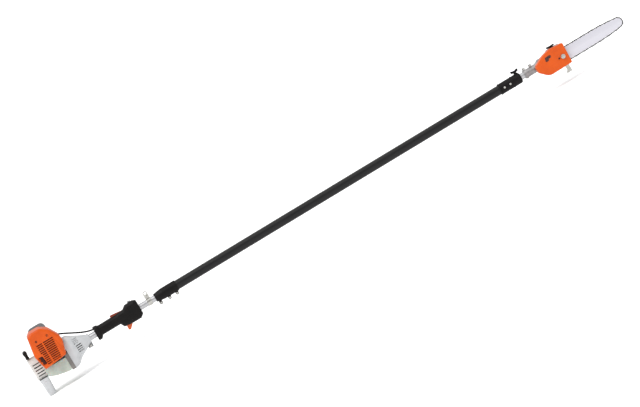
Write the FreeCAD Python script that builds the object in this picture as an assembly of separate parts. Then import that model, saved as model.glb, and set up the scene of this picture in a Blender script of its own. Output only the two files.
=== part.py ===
import FreeCAD, Part
import math
import os

# Telescoping pole saw, in millimetres. +X runs along the shaft to the saw, +Z is up, +Y is the left side.
# The origin is the centre of the support foot's flat underside.

# ---- Shaft line and clearances
shaft_height = 112.0
touch_gap = 0.05           # between round faces that are clamped or pressed together
running_gap = 0.06         # radial, for a shaft in its bearing
moving_gap = 0.35          # between pieces of different bodies
seat_gap = 0.3             # under a cap, a knob or a button at rest

# ---- Recoil starter
starter_back = -23.0
starter_length = 50.0
starter_wall = 3.0
starter_half_width = 46.0
starter_top = 51.0         # above the shaft
starter_bottom = -40.0
starter_corner = 30.0
starter_slot_count = 5
starter_slot_width = 5.0
pulley_radius = 28.0
pulley_width = 8.0
rope_radius = 1.75
rope_lay_radius = 21.0
starter_axle_radius = 5.0
starter_screw_sides = (-33.5, 33.5)
spring_strip = 0.8
spring_pitch = 2.6
spring_turns = 6
grip_height = 35.0
grip_width = 46.0
grip_depth = 15.0

# ---- Support foot
foot_length = 38.0         # at the starter
foot_base = 31.0           # on the floor
foot_width = 92.0
foot_height = shaft_height + starter_bottom - 0.3
foot_wall = 4.0
foot_corner = 9.0

# ---- Crankcase and crank train
crankcase_setback = 7.0    # from the starter housing
crankcase_back = starter_back + starter_length + crankcase_setback
crankcase_length = 78.0
crankcase_radius = 40.0
crankcase_wall = 5.0
crankcase_end = 8.0
cylinder_seat = 44.0       # above the shaft
cylinder_pad = 30.0        # half size of the square seat
journal_radius = 6.0
bearing_radius = 14.0
bearing_width = 7.0
web_radius = 24.0
web_width = 8.0
web_space = 16.0
crank_throw = 15.0
crank_pin_radius = 5.0
crankcase_front = crankcase_back + crankcase_length
cylinder_x = crankcase_back + crankcase_length / 2 - 1

# ---- Cylinder, piston and spark plug
bore_radius = 17.0
barrel_radius = 22.0
cylinder_height = 60.0
fin_half_length = 30.0
fin_half_width = 33.0
fin_count = 7
fin_thickness = 2.0
piston_height = 28.0
plug_length = 21.0
plug_hex_radius = 8.0
boot_radius = 8.5

# ---- Muffler and shroud on the right side
muffler_near = -82.0
muffler_far = -50.0
muffler_bottom = 12.0
muffler_top = 94.0
shroud_face = -92.0
shroud_edge = 12.0
shroud_wall = 2.5
shroud_round = 12.0
louvre_rows = 11
louvre_pitch = 8.0
louvre_width = 3.6
louvre_first = 3.0         # lowest louvre above the shaft
louvre_spans = ((-34.0, -10.0), (-5.0, 32.0))   # along the pole, from the cylinder

# ---- Carburettor and air filter on the left side
carburettor_near = 33.3
carburettor_far = 74.0
filter_plate = 10.0
filter_depth = 28.0
filter_wall = 2.5
filter_low = 38.0
filter_high = 142.0
filter_back = cylinder_x - 38.0
filter_front = cylinder_x + 36.0
filter_corner = 20.0
choke_pin_radius = 3.0
primer_radius = 10.0
primer_travel = 5.0

# ---- Fuel tank and buffer
tank_lap = 8.0             # over the starter housing
tank_back = starter_back + starter_length - tank_lap
tank_half_width = 60.0
tank_top = -10.0
tank_wall = 3.0
tank_gap = 1.0
tank_cap_radius = 17.0
buffer_length = 16.0

# ---- Fan housing
fan_back = crankcase_front + buffer_length
fan_flange = 18.0
fan_cone = 85.0
fan_half_width = 60.0
fan_top = 54.0
fan_bottom = -69.0
fan_corner = 24.0
fan_wall = 3.0
neck_wall = 5.3
fan_radius = 47.0
fan_blades = 16
shoe_radius = 26.0
drum_radius = 30.0
drum_wall = 2.5

# ---- Rear pole
tube_radius = 12.7
tube_wall = 1.6
square_half = 3.5          # half the width across the flats of the square rod

# ---- Control handle
handle_setback = 27.0       # from the fan housing's neck
handle_back = fan_back + fan_flange + fan_cone + handle_setback
handle_wall = 2.5
trigger_half_width = 5.0
lockout_half_width = 6.0
switch_travel = 6.0
switch_length = 12.0
cable_radius = 3.25

# ---- Carrying eye
eye_setback = 242.0         # from the handle's rear end
eye_station = handle_back + eye_setback
eye_half_width = 9.0
eye_rise = 36.0            # of the hole's centre above the shaft
eye_bore = 5.0
eye_plate = 3.0
band_thickness = 2.5

# ---- Outer tube and its clamps
rear_clamp_back = eye_station + 25.0
rear_clamp_length = 97.0
clamp_wall = 3.0
lug_radius = 6.0
outer_tube_back = rear_clamp_back + 35.0
outer_tube_length = 1590.0
outer_radius = 19.0
outer_wall = 1.8
clamp_radius = outer_radius + clamp_wall
neck_radius = tube_radius + neck_wall
drive_tube_end = outer_tube_back + 80.0
front_clamp_length = 98.0
front_clamp_overlap = 58.0
knob_half_width = 15.0
knob_height = 16.0
knob_half_depth = 5.5
screw_radius = 2.0
screw_head_radius = 4.0
screw_head_height = 2.4

# ---- Inner tube and front drive shaft
inner_tube_back = drive_tube_end + 8.0
inner_tube_seat = 53.0       # length held in the saw head
front_shaft_radius = 7.0
bush_spacing = 380.0
bush_length = 22.0

# ---- Saw head
head_setback = 15.0         # from the front clamp, when the pole is short
head_back = outer_tube_back + outer_tube_length - front_clamp_overlap + front_clamp_length
head_back += head_setback
inner_tube_length = head_back + inner_tube_seat - inner_tube_back
head_neck_length = 62.0
head_neck_radius = tube_radius + 3.8
bevel_x = head_back + 113.0
pinion_radius = 10.0
gear_radius = 15.0
bevel_face = 8.0
sprocket_shaft_radius = 5.0
bar_plane = -34.0
bar_drop = 10.4            # bar centre line below the shaft
bar_thickness = 4.0
bar_groove = 1.5
bar_groove_depth = 6.0
bar_half_height = 24.5
bar_tail_x = bevel_x + 38.0
bar_tail_round = 18.0
bar_shoulder_x = bevel_x + 187.0
bar_nose_x = bevel_x + 305.0
bar_nose_radius = 17.0
rivet_line = 2.4           # chain rivets outside the bar's edge
chain_height = 5.4
chain_link_count = 78
link_plate = 0.9
drive_link_plate = 1.2
sprocket_pitch_radius = 16.5
stud_x = bevel_x + 48.0
stud_radius = 4.0
tensioner_x = bevel_x + 31.0
cover_near = -58.0
cover_far = -27.6
cover_wall = 2.5
hook_width = 16.0
hook_thickness = 5.0
hook_drop = 80.0           # hook's lowest face below the shaft
oil_cap_radius = 15.0
oil_cap_x = bevel_x + 32.0

along_x = FreeCAD.Vector(1, 0, 0)
along_y = FreeCAD.Vector(0, 1, 0)
along_z = FreeCAD.Vector(0, 0, 1)


def at(x, y, z):
    """A point given by its place along the pole, to the left, and above the shaft line."""
    return FreeCAD.Vector(x, y, z + shaft_height)


def block(x_range, y_range, z_range):
    """A box between pairs of limits, heights counted from the shaft line."""
    return Part.makeBox(
        x_range[1] - x_range[0],
        y_range[1] - y_range[0],
        z_range[1] - z_range[0],
        at(x_range[0], y_range[0], z_range[0]),
    )


def rod(radius, start, axis, length):
    """A round bar."""
    return Part.makeCylinder(radius, length, start, axis)


def ring(outer, inner, start, axis, length):
    """A round bar with a hole through it."""
    return rod(outer, start, axis, length).cut(rod(inner, start, axis, length))


def rounded_wire(corners, place):
    """A closed outline through corners (u, v, radius), each turned by a tangent arc of its radius."""
    points = [FreeCAD.Vector(u, v, 0) for u, v, radius in corners]
    starts = []
    ends = []
    middles = []
    for index, corner in enumerate(points):
        radius = corners[index][2]
        to_last = (points[index - 1] - corner).normalize()
        to_next = (points[(index + 1) % len(points)] - corner).normalize()
        half_angle = to_last.getAngle(to_next) / 2
        reach = radius / math.tan(half_angle)
        starts.append(corner + to_last * reach)
        ends.append(corner + to_next * reach)
        bisector = to_last + to_next
        if radius > 0:
            bisector.normalize()
        middles.append(corner + bisector * (radius / math.sin(half_angle) - radius))
    edges = []
    for index in range(len(points)):
        if corners[index][2] > 0:
            through = [place(p.x, p.y) for p in (starts[index], middles[index], ends[index])]
            edges.append(Part.Arc(*through).toShape())
        following = (index + 1) % len(points)
        if ends[index].distanceToPoint(starts[following]) > 1e-6:
            line_start = place(ends[index].x, ends[index].y)
            line_end = place(starts[following].x, starts[following].y)
            edges.append(Part.LineSegment(line_start, line_end).toShape())
    return Part.Wire(edges)


def side_plate(corners, y_low, y_high):
    """A plate with an outline of (x, height above the shaft, corner radius), between two widths."""
    wire = rounded_wire(corners, lambda x, z: at(x, y_low, z))
    return Part.Face(wire).extrude(along_y * (y_high - y_low))


def cross_plate(corners, x_low, x_high):
    """A plate with an outline of (y, height above the shaft, corner radius), between two stations."""
    wire = rounded_wire(corners, lambda y, z: at(x_low, y, z))
    return Part.Face(wire).extrude(along_x * (x_high - x_low))


def rectangle_corners(half_width, low, high, radius):
    """Corners of a rounded rectangle that is centred on the shaft's plane."""
    limit = min(radius, 0.49 * (high - low), 0.98 * half_width)
    return [
        (-half_width, low, limit),
        (half_width, low, limit),
        (half_width, high, limit),
        (-half_width, high, limit),
    ]


def loft_along(sections):
    """A body through rounded rectangles given as (x, half width, low, high, corner radius)."""
    wires = []
    for x, half_width, low, high, radius in sections:
        corners = rectangle_corners(half_width, low, high, radius)
        wires.append(rounded_wire(corners, lambda y, z, x=x: at(x, y, z)))
    return Part.makeLoft(wires, True, True)


def inset_sections(sections, wall):
    """The same sections, smaller by a wall all round."""
    return [(x, w - wall, low + wall, high - wall, r - wall) for x, w, low, high, r in sections]


def fuse(shapes):
    """One solid from pieces that overlap or share faces."""
    whole = shapes[0]
    for shape in shapes[1:]:
        whole = whole.fuse(shape)
    return whole.removeSplitter()


def cut(shape, tools):
    """A solid less a list of tools."""
    for tool in tools:
        shape = shape.cut(tool)
    return shape


def cap_screw(head_start, axis, length):
    """A screw whose head stands at its start and whose shank runs along the axis."""
    head = rod(screw_head_radius, head_start, axis, screw_head_height)
    socket = rod(screw_head_radius * 0.5, head_start, axis, screw_head_height * 0.6)
    shank = rod(screw_radius, head_start + axis * screw_head_height, axis, length)
    return head.fuse(shank).cut(socket)


def screw_hole(head_start, axis, length):
    """The room that a cap screw takes, with the touching gap round it."""
    head = rod(screw_head_radius + touch_gap, head_start - axis * 20, axis, screw_head_height + 20)
    return head.fuse(rod(screw_radius + touch_gap, head_start, axis, screw_head_height + length))


# ---------------------------------------------------------------- engine, rear end
starter_front = starter_back + starter_length
starter_corners = rectangle_corners(
    starter_half_width, starter_bottom, starter_top, starter_corner
)
pulley_back = starter_back + starter_wall + 1.5
pulley_middle = pulley_back + pulley_width / 2
rope_exit_y = -rope_lay_radius
grip_x = pulley_middle


def support_foot():
    """Open-backed plastic stand below the starter, with ribs."""
    x_back = -foot_length / 2
    x_front = foot_length / 2
    floor = -shaft_height
    top = floor + foot_height
    corners = [
        (-foot_base / 2, floor, foot_corner),
        (foot_base / 2, floor, foot_corner),
        (x_front, top, 0),
        (x_back, top, 0),
    ]
    half = foot_width / 2
    shell = side_plate(corners, -half, half)
    hollow = block(
        (x_back - 1, foot_base / 2 - foot_wall),
        (-half + foot_wall, half - foot_wall),
        (floor + foot_corner + 1, top - foot_wall),
    )
    shell = shell.cut(hollow)
    ribs = []
    for step in (-1, 0, 1):
        y = step * foot_width / 4
        rib = block(
            (2 - foot_base / 2, foot_base / 2 - 1),
            (y - 1.5, y + 1.5),
            (floor + foot_corner, top - 1),
        )
        ribs.append(rib)
    return fuse([shell] + ribs)


def starter_housing():
    """Slotted drum that holds the pulley and its rewind spring, open to the engine."""
    body = cross_plate(starter_corners, starter_back, starter_front)
    inner = rectangle_corners(
        starter_half_width - starter_wall,
        starter_bottom + starter_wall,
        starter_top - starter_wall,
        starter_corner - starter_wall,
    )
    hollow = cross_plate(inner, starter_back + starter_wall, starter_front + 1)
    body = body.cut(hollow)
    tools = []
    slot_back = starter_back + 10
    for step in range(starter_slot_count):
        height = (step - (starter_slot_count - 1) / 2) * starter_slot_width * 2.4
        low = height - starter_slot_width / 2
        tools.append(
            block(
                (slot_back, starter_front - 8),
                (-starter_half_width - 5, starter_half_width + 5),
                (low, low + starter_slot_width),
            )
        )
    for count in range(8):
        angle = math.radians(count * 45)
        y = 33 * math.cos(angle)
        z = 33 * math.sin(angle)
        tools.append(rod(4.5, at(starter_back - 1, y, z), along_x, starter_wall + 2))
    rope_hole = rod(
        rope_radius + 1.0, at(grip_x, rope_exit_y, 30), along_z, starter_top
    )
    tools.append(rope_hole)
    body = cut(body, tools)
    axle = rod(
        starter_axle_radius, at(starter_back + 1, 0, 0), along_x, starter_wall + 1.5 + 20
    )
    guide = ring(
        rope_radius + 4, rope_radius + 1.0, at(grip_x, rope_exit_y, starter_top - 2), along_z, 4
    )
    flange = ring(
        starter_half_width - 2, 38, at(starter_front - 3, 0, 0), along_x, 3
    )
    return fuse([body, axle, guide]).fuse(flange.common(cross_plate(starter_corners, 0, 60)))


def starter_pulley():
    """Grooved pulley that turns on the starter's axle."""
    body = rod(pulley_radius, at(pulley_back, 0, 0), along_x, pulley_width)
    groove = ring(
        pulley_radius + 1,
        rope_lay_radius - rope_radius - 0.2,
        at(pulley_back + 2, 0, 0),
        along_x,
        pulley_width - 4,
    )
    bore = rod(starter_axle_radius + running_gap, at(pulley_back - 1, 0, 0), along_x, 30)
    return body.cut(groove).cut(bore)


def rewind_spring():
    """Flat spiral strip beside the pulley, made of half circles that grow turn by turn."""
    start_x = pulley_back + pulley_width + moving_gap
    half_turns = 2 * spring_turns
    step = spring_pitch / 2
    first_radius = starter_axle_radius + touch_gap
    inner = []
    outer = []
    for index in range(half_turns):
        radius = first_radius + index * step
        centre = 0 if index % 2 == 0 else step
        sign = 1 if index % 2 == 0 else -1
        for rows, reach in ((inner, radius), (outer, radius + spring_strip)):
            begin = at(start_x, centre + sign * reach, 0)
            top = at(start_x, centre, sign * reach)
            end = at(start_x, centre - sign * reach, 0)
            rows.append(Part.Arc(begin, top, end).toShape())
    close_start = Part.LineSegment(
        inner[0].Vertexes[0].Point, outer[0].Vertexes[0].Point
    ).toShape()
    last_inner = inner[-1].valueAt(inner[-1].LastParameter)
    last_outer = outer[-1].valueAt(outer[-1].LastParameter)
    close_end = Part.LineSegment(last_inner, last_outer).toShape()
    wire = Part.Wire(Part.__sortEdges__(inner + [close_end] + outer + [close_start]))
    return Part.Face(wire).extrude(along_x * 6)


def starter_rope():
    """Straight run of the rope from the pulley's groove up into the grip."""
    length = starter_top + 2 + seat_gap + 6
    return rod(rope_radius, at(grip_x, rope_exit_y, 0), along_z, length)


def starter_grip():
    """T-shaped pull grip that rests on the rope guide."""
    base = starter_top + 2 + seat_gap
    neck = rod(5.5, at(grip_x, rope_exit_y, base), along_z, grip_height - 8)
    bar_corners = [
        (-grip_width / 2, base + grip_height - 13, 6),
        (grip_width / 2, base + grip_height - 13, 6),
        (grip_width / 2, base + grip_height, 6),
        (-grip_width / 2, base + grip_height, 6),
    ]
    wire = rounded_wire(
        bar_corners, lambda y, z: at(grip_x - grip_depth / 2, y + rope_exit_y, z)
    )
    bar = Part.Face(wire).extrude(along_x * grip_depth)
    bore = rod(rope_radius + touch_gap, at(grip_x, rope_exit_y, base - 1), along_z, 7)
    return fuse([neck, bar]).cut(bore)


# ---------------------------------------------------------------- engine, crank and cylinder

def crankcase():
    """Round case on the shaft line with the cylinder's seat on top and a bearing at each end."""
    drum = rod(crankcase_radius, at(crankcase_back, 0, 0), along_x, crankcase_length)
    seat = block(
        (cylinder_x - cylinder_pad, cylinder_x + cylinder_pad),
        (-cylinder_pad, cylinder_pad),
        (20, cylinder_seat),
    )
    hollow = rod(
        crankcase_radius - crankcase_wall,
        at(crankcase_back + crankcase_end, 0, 0),
        along_x,
        crankcase_length - 2 * crankcase_end,
    )
    feet = [
        block((crankcase_back - 7, crankcase_back + 1), (y - 5, y + 5), (-5, 5))
        for y in starter_screw_sides
    ]
    front_feet = [
        block((crankcase_front - 1, fan_back), (y - 5, y + 5), (-5, 5)) for y in (-32, 32)
    ]
    body = fuse([drum, seat] + feet + front_feet)
    tools = [
        hollow,
        rod(bore_radius + 1, at(cylinder_x, 0, 10), along_z, cylinder_seat),
        rod(journal_radius + 1, at(crankcase_back - 1, 0, 0), along_x, crankcase_length + 2),
    ]
    for x in (crankcase_back, crankcase_front - bearing_width):
        tools.append(rod(bearing_radius + touch_gap, at(x, 0, 0), along_x, bearing_width))
    for y in starter_screw_sides:
        tools.append(rod(screw_radius + touch_gap, at(crankcase_back - 8, y, 0), along_x, 12))
    return cut(body, tools)


def shaft_bearings():
    """Two crank bearings and the clutch drum's bearing."""
    rings = []
    stations = (crankcase_back, crankcase_front - bearing_width, drum_bearing_x)
    for x in stations:
        outer = ring(bearing_radius, bearing_radius - 3, at(x, 0, 0), along_x, bearing_width)
        inner = ring(
            journal_radius + 2.5, journal_radius + running_gap, at(x, 0, 0), along_x, bearing_width
        )
        race = ring(bearing_radius, journal_radius + running_gap, at(x, 0, 0), along_x, bearing_width)
        gap = bearing_radius - 3 - journal_radius - 2.5
        groove = ring(
            bearing_radius - 3, journal_radius + 2.5, at(x, 0, 0), along_x, gap * 0.6
        )
        rings.append(fuse([outer, inner, race.cut(groove)]))
    return Part.makeCompound(rings)


def crankshaft():
    """Two journals, two webs with the crank pin between them, the starter cup and the clutch end."""
    cup_back = starter_front - 21
    middle = cylinder_x
    rear_web = middle - web_space / 2 - web_width
    front_web = middle + web_space / 2
    pieces = [
        rod(journal_radius, at(cup_back + 8, 0, 0), along_x, rear_web - cup_back - 7),
        rod(journal_radius, at(front_web + web_width - 1, 0, 0), along_x,
            shoe_x + 16 - front_web - web_width + 1),
        rod(crank_pin_radius, at(rear_web + 1, 0, crank_throw), along_x, web_space + 2 * web_width - 2),
        ring(25, 21, at(cup_back, 0, 0), along_x, 14),
        rod(25, at(cup_back + 10, 0, 0), along_x, 4),
    ]
    for x in (rear_web, front_web):
        pieces.append(rod(web_radius, at(x, 0, 0), along_x, web_width))
    return fuse(pieces)


def cylinder():
    """Finned barrel with a blind bore and the plug's thread hole on top."""
    base = cylinder_seat
    barrel = rod(barrel_radius, at(cylinder_x, 0, base), along_z, cylinder_height)
    foot = block(
        (cylinder_x - 28, cylinder_x + 28), (-28, 28), (base, base + 6)
    )
    fins = []
    pitch = (cylinder_height - 16) / (fin_count - 1)
    for index in range(fin_count):
        low = base + 14 + index * pitch
        corners = [
            (cylinder_x - fin_half_length, -fin_half_width, 8),
            (cylinder_x + fin_half_length, -fin_half_width, 8),
            (cylinder_x + fin_half_length, fin_half_width, 8),
            (cylinder_x - fin_half_length, fin_half_width, 8),
        ]
        wire = rounded_wire(corners, lambda x, y, low=low: at(x, y, low))
        fins.append(Part.Face(wire).extrude(along_z * fin_thickness))
    port = rod(9, at(cylinder_x, -49.9, base + 28), along_y, 83.2)
    body = fuse([barrel, foot, port] + fins)
    bore = rod(bore_radius, at(cylinder_x, 0, base - 1), along_z, cylinder_height - 13)
    thread = rod(5 + touch_gap, at(cylinder_x, 0, base + 40), along_z, cylinder_height)
    return cut(body, [bore, thread])


def piston():
    """Hollow piston at the top of its stroke."""
    top = cylinder_seat + cylinder_height - 18
    low = top - piston_height
    body = rod(bore_radius - touch_gap, at(cylinder_x, 0, low), along_z, piston_height)
    hollow = rod(bore_radius - 4, at(cylinder_x, 0, low - 1), along_z, piston_height - 5)
    grooves = [
        ring(bore_radius + 1, bore_radius - 1.5, at(cylinder_x, 0, top - d), along_z, 1.2)
        for d in (4, 8)
    ]
    pin = rod(4, at(cylinder_x, -bore_radius + 0.5, low + 10), along_y, 2 * bore_radius - 1)
    return fuse([cut(body, [hollow] + grooves), pin])


def spark_plug():
    """Thread, hexagon, insulator and terminal on one axis."""
    top = cylinder_seat + cylinder_height
    pieces = [
        rod(5, at(cylinder_x, 0, top - 12), along_z, 12.5),
        rod(4, at(cylinder_x, 0, top + 5), along_z, plug_length - 9),
        rod(2.2, at(cylinder_x, 0, top + plug_length - 6), along_z, 5),
    ]
    corners = []
    for index in range(6):
        angle = math.radians(60 * index)
        corners.append(
            (cylinder_x + plug_hex_radius * math.cos(angle), plug_hex_radius * math.sin(angle), 0)
        )
    wire = rounded_wire(corners, lambda x, y: at(x, y, top))
    pieces.append(Part.Face(wire).extrude(along_z * 6))
    return fuse(pieces)


def plug_boot():
    """Rubber cap over the plug with the lead's stub towards the engine's left side."""
    top = cylinder_seat + cylinder_height
    cap = rod(boot_radius, at(cylinder_x, 0, top + 8), along_z, plug_length - 4)
    stub = rod(4.5, at(cylinder_x, 0, top + plug_length - 4), along_y, 24)
    body = fuse([cap, stub])
    room = rod(4 + touch_gap, at(cylinder_x, 0, top), along_z, plug_length)
    return body.cut(room)


def muffler():
    """Pressed box beside the cylinder, with its outlet at the lower rear corner."""
    corners = [
        (cylinder_x - 36, muffler_bottom, 10),
        (cylinder_x + 30, muffler_bottom, 10),
        (cylinder_x + 34, muffler_top, 10),
        (cylinder_x - 30, muffler_top, 10),
    ]
    box = side_plate(corners, muffler_near, muffler_far)
    inner = [
        (cylinder_x - 34.2, muffler_bottom + 2, 8),
        (cylinder_x + 28.2, muffler_bottom + 2, 8),
        (cylinder_x + 32, muffler_top - 2, 8),
        (cylinder_x - 28.2, muffler_top - 2, 8),
    ]
    hollow = side_plate(inner, muffler_near + 2, muffler_far - 2)
    outlet = ring(8, 6, at(cylinder_x - 48, (muffler_near + muffler_far) / 2 - 4, 24), along_x, 16)
    open_end = rod(6, at(cylinder_x - 42, (muffler_near + muffler_far) / 2 - 4, 24), along_x, 16)
    return fuse([box.cut(hollow), outlet]).cut(open_end)


shroud_corners = [
    (starter_front - 2, -10, 6),
    (starter_front - 16, 50, 16),
    (starter_front - 3, 129, 14),
    (starter_front + 12, 141, 9),
    (cylinder_x, 138, 30),
    (fan_back - 18, 120, 20),
    (fan_back + 7, 80, 16),
    (fan_back + 10, 57, 12),
    (fan_back - 7, 1, 10),
]


def shroud_body(inset, face, edge):
    """The shroud's outline made smaller all round, pulled in at its face by a rounded edge."""
    wire = rounded_wire(shroud_corners, lambda x, z: at(x, face, z))
    if inset > 0:
        wire = wire.makeOffset2D(-inset)
    solid = Part.Face(wire).extrude(along_y * (edge - face))
    edges = [
        e for e in solid.Edges
        if abs(e.BoundBox.YMin - face) < 0.01 and abs(e.BoundBox.YMax - face) < 0.01
    ]
    return solid.makeFillet(max(shroud_round - inset, 1), edges)


def engine_shroud():
    """Orange cover over the engine's right side and top, with louvres and the outlet window."""
    outer = shroud_body(0, shroud_face, shroud_edge)
    inner = shroud_body(shroud_wall, shroud_face + shroud_wall, shroud_edge + 1)
    shell = outer.cut(inner)
    tools = [
        block((cylinder_x - 42, cylinder_x + 46), (shroud_face + shroud_wall + shroud_round, 20), (-15, 12)),
        cross_plate(
            rectangle_corners(
                fan_half_width + touch_gap, fan_bottom - 1, fan_top + 0.6, fan_corner
            ),
            fan_back - 12,
            fan_back + 30,
        ),
        cross_plate(
            rectangle_corners(
                starter_half_width + 0.6, starter_bottom - 1, starter_top + 0.6, starter_corner
            ),
            -10,
            starter_front + 1,
        ),
    ]
    for row in range(louvre_rows):
        low = louvre_first + row * louvre_pitch
        for start, end in louvre_spans:
            tools.append(
                block(
                    (cylinder_x + start, cylinder_x + end),
                    (shroud_face - 1, shroud_face + 6),
                    (low, low + louvre_width),
                )
            )
    window = [
        (cylinder_x - 53, 5, 3),
        (cylinder_x - 41, 3, 3),
        (cylinder_x - 41, 40, 4),
        (cylinder_x - 55, 42, 4),
    ]
    tools.append(side_plate(window, shroud_face - 1, shroud_face + 22))
    tools.append(cable_solid(cable_radius + 0.8))
    return cut(shell, tools + shroud_screw_room())


def shroud_screw_room():
    """Holes for the shroud's two screws."""
    return [screw_hole(start, along_y, 30) for start in shroud_screw_starts()]


def shroud_screw_starts():
    """Head faces of the two screws that hold the shroud."""
    screw_z = cylinder_seat + cylinder_height - 2
    return [at(cylinder_x + d, shroud_face + 0.5, screw_z) for d in (22, -26)]


def casing_screws():
    """Screws of the shroud, the starter housing and the handle."""
    screws = [cap_screw(start, along_y, muffler_near - shroud_face + 6) for start in shroud_screw_starts()]
    for y in starter_screw_sides:
        screws.append(cap_screw(at(starter_back + 0.4, y, 0), along_x, starter_length + 5))
    for x, z in handle_posts:
        half = handle_half_width_at_post
        screws.append(cap_screw(at(x, -half, z), along_y, 2 * half - 6))
    return Part.makeCompound(screws)


# ---------------------------------------------------------------- engine, left side
def carburettor():
    """Carburettor block with its throttle barrel."""
    base = cylinder_seat + 28
    body = block((cylinder_x - 19, cylinder_x + 17), (40, carburettor_far - 4), (base - 16, base + 16))
    throat = rod(13, at(cylinder_x, carburettor_near, base), along_y, carburettor_far - carburettor_near)
    barrel = rod(9, at(cylinder_x, 56, base + 15), along_z, 9)
    holder = block(
        (cylinder_x + 12, cylinder_x + 26), (44, 56), (base + 4, base + 17)
    )
    passage = rod(8, at(cylinder_x, carburettor_near - 1, base), along_y, 50)
    return fuse([body, throat, barrel, holder]).cut(passage)


filter_corners = [
    (filter_back, filter_low, filter_corner),
    (filter_front, filter_low, filter_corner),
    (filter_front, filter_high, filter_corner),
    (filter_back, filter_high, filter_corner),
]


def filter_inset(amount):
    """The air filter's outline made smaller all round."""
    return [
        (filter_back + amount, filter_low + amount, filter_corner - amount),
        (filter_front - amount, filter_low + amount, filter_corner - amount),
        (filter_front - amount, filter_high - amount, filter_corner - amount),
        (filter_back + amount, filter_high - amount, filter_corner - amount),
    ]


choke_x = filter_front - 9
choke_z = filter_low - 10
primer_x = filter_back + 20
primer_z = filter_low - 12


def filter_housing():
    """Back plate of the air filter with the tabs that carry the choke lever and the primer."""
    far = carburettor_far
    plate = side_plate(filter_corners, far, far + filter_plate)
    tab_height = (choke_z - 8, filter_low + 12)
    choke_tab = block((choke_x - 7, choke_x + 7), (far + 2, far + filter_plate), tab_height)
    primer_tab = side_plate(
        [
            (primer_x - 15, primer_z - 14, 6),
            (primer_x + 15, primer_z - 14, 6),
            (primer_x + 15, filter_low + 14, 2),
            (primer_x - 15, filter_low + 14, 2),
        ],
        far,
        far + filter_plate,
    )
    tools = [
        rod(8, at(cylinder_x, far - 1, cylinder_seat + 28), along_y, filter_plate + 2),
        rod(choke_pin_radius + running_gap, at(choke_x, far + 1, choke_z), along_y, 20),
        rod(
            primer_radius + moving_gap,
            at(primer_x, far + filter_plate - primer_travel - 2, primer_z),
            along_y,
            20,
        ),
    ]
    return cut(fuse([plate, choke_tab, primer_tab]), tools)


def filter_element():
    """Pleated paper block, as a ribbed panel."""
    near = carburettor_far + filter_plate + touch_gap
    panel = side_plate(filter_inset(9), near, near + 12)
    grooves = []
    count = 9
    spacing = (filter_high - filter_low - 30) / count
    for index in range(count):
        low = filter_low + 16 + index * spacing
        grooves.append(block((filter_back + 14, filter_front - 14), (near + 6, near + 20), (low, low + 3)))
    return cut(panel, grooves)


def filter_cover():
    """Black cup over the filter."""
    near = carburettor_far + filter_plate + touch_gap
    outer = side_plate(filter_corners, near, near + filter_depth)
    rim = [
        e for e in outer.Edges
        if abs(e.BoundBox.YMin - near - filter_depth) < 0.01 and e.BoundBox.YLength < 0.01
    ]
    outer = outer.makeFillet(8, rim)
    hollow = side_plate(filter_inset(filter_wall), near - 1, near + filter_depth - 8)
    return outer.cut(hollow)


def choke_lever():
    """Small lever on a pin in the filter housing's tab."""
    near = carburettor_far + filter_plate + seat_gap
    disc = rod(7, at(choke_x, near, choke_z), along_y, 5)
    pin = rod(choke_pin_radius, at(choke_x, carburettor_far + 2.5, choke_z), along_y, near - carburettor_far)
    arm = side_plate(
        [
            (choke_x - 2, choke_z - 6, 2),
            (choke_x + 20, choke_z - 20, 3),
            (choke_x + 24, choke_z - 13, 3),
            (choke_x + 4, choke_z + 5, 2),
        ],
        near,
        near + 5,
    )
    return fuse([disc, pin, arm])


def primer_bulb():
    """Domed fuel primer that is pressed into its recess."""
    near = carburettor_far + filter_plate - 0.5
    height = 9.0
    bulb = rod(primer_radius, at(primer_x, near, primer_z), along_y, height)
    rim = [e for e in bulb.Edges if e.BoundBox.YMin > near + height - 0.01]
    return bulb.makeFillet(5.5, rim)


# ---------------------------------------------------------------- tank, buffer and fan housing
tank_front = crankcase_front
tank_corners = [
    (tank_back, -42, 12),
    (tank_back + 33, -54, 10),
    (tank_front, -66, 8),
    (tank_front, tank_top, 3),
    (tank_back, tank_top, 3),
]
tank_cap_x = tank_back + 30
tank_cap_z = -36.0


def fuel_tank():
    """Saddle-shaped tank round the lower half of the crankcase, with its filler neck on the left."""
    outer = side_plate(tank_corners, -tank_half_width, tank_half_width)
    saddle = rod(crankcase_radius + tank_gap, at(tank_back - 1, 0, 0), along_x, 200)
    starter_room = cross_plate(
        rectangle_corners(
            starter_half_width + tank_gap, starter_bottom - tank_gap, starter_top, starter_corner
        ),
        tank_back - 1,
        starter_front + tank_gap,
    )
    inner_corners = [
        (tank_back + tank_wall, -42 + tank_wall + 1, 9),
        (tank_back + 33, -54 + tank_wall, 8),
        (tank_front - tank_wall, -66 + tank_wall, 6),
        (tank_front - tank_wall, tank_top - tank_wall, 1),
        (tank_back + tank_wall, tank_top - tank_wall, 1),
    ]
    inner = side_plate(inner_corners, -tank_half_width + tank_wall, tank_half_width - tank_wall)
    inner = inner.cut(
        rod(crankcase_radius + tank_gap + tank_wall, at(tank_back - 1, 0, 0), along_x, 200)
    )
    inner = inner.cut(
        block((tank_back - 1, starter_front + tank_gap + tank_wall), (-80, 80), (-70, 10))
    )
    shell = cut(outer, [saddle, starter_room, inner])
    neck = rod(tank_cap_radius - 4, at(tank_cap_x, tank_half_width - 6, tank_cap_z), along_y, 6)
    filler = rod(9, at(tank_cap_x, tank_half_width - 8, tank_cap_z), along_y, 20)
    lugs = [
        block((tank_back + 20, tank_back + 30), (side * 43 - 3, side * 43 + 3), (-20, -10))
        for side in (-1, 1)
    ]
    shell = fuse([shell, neck] + lugs)
    return shell.cut(filler).cut(saddle)


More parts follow.
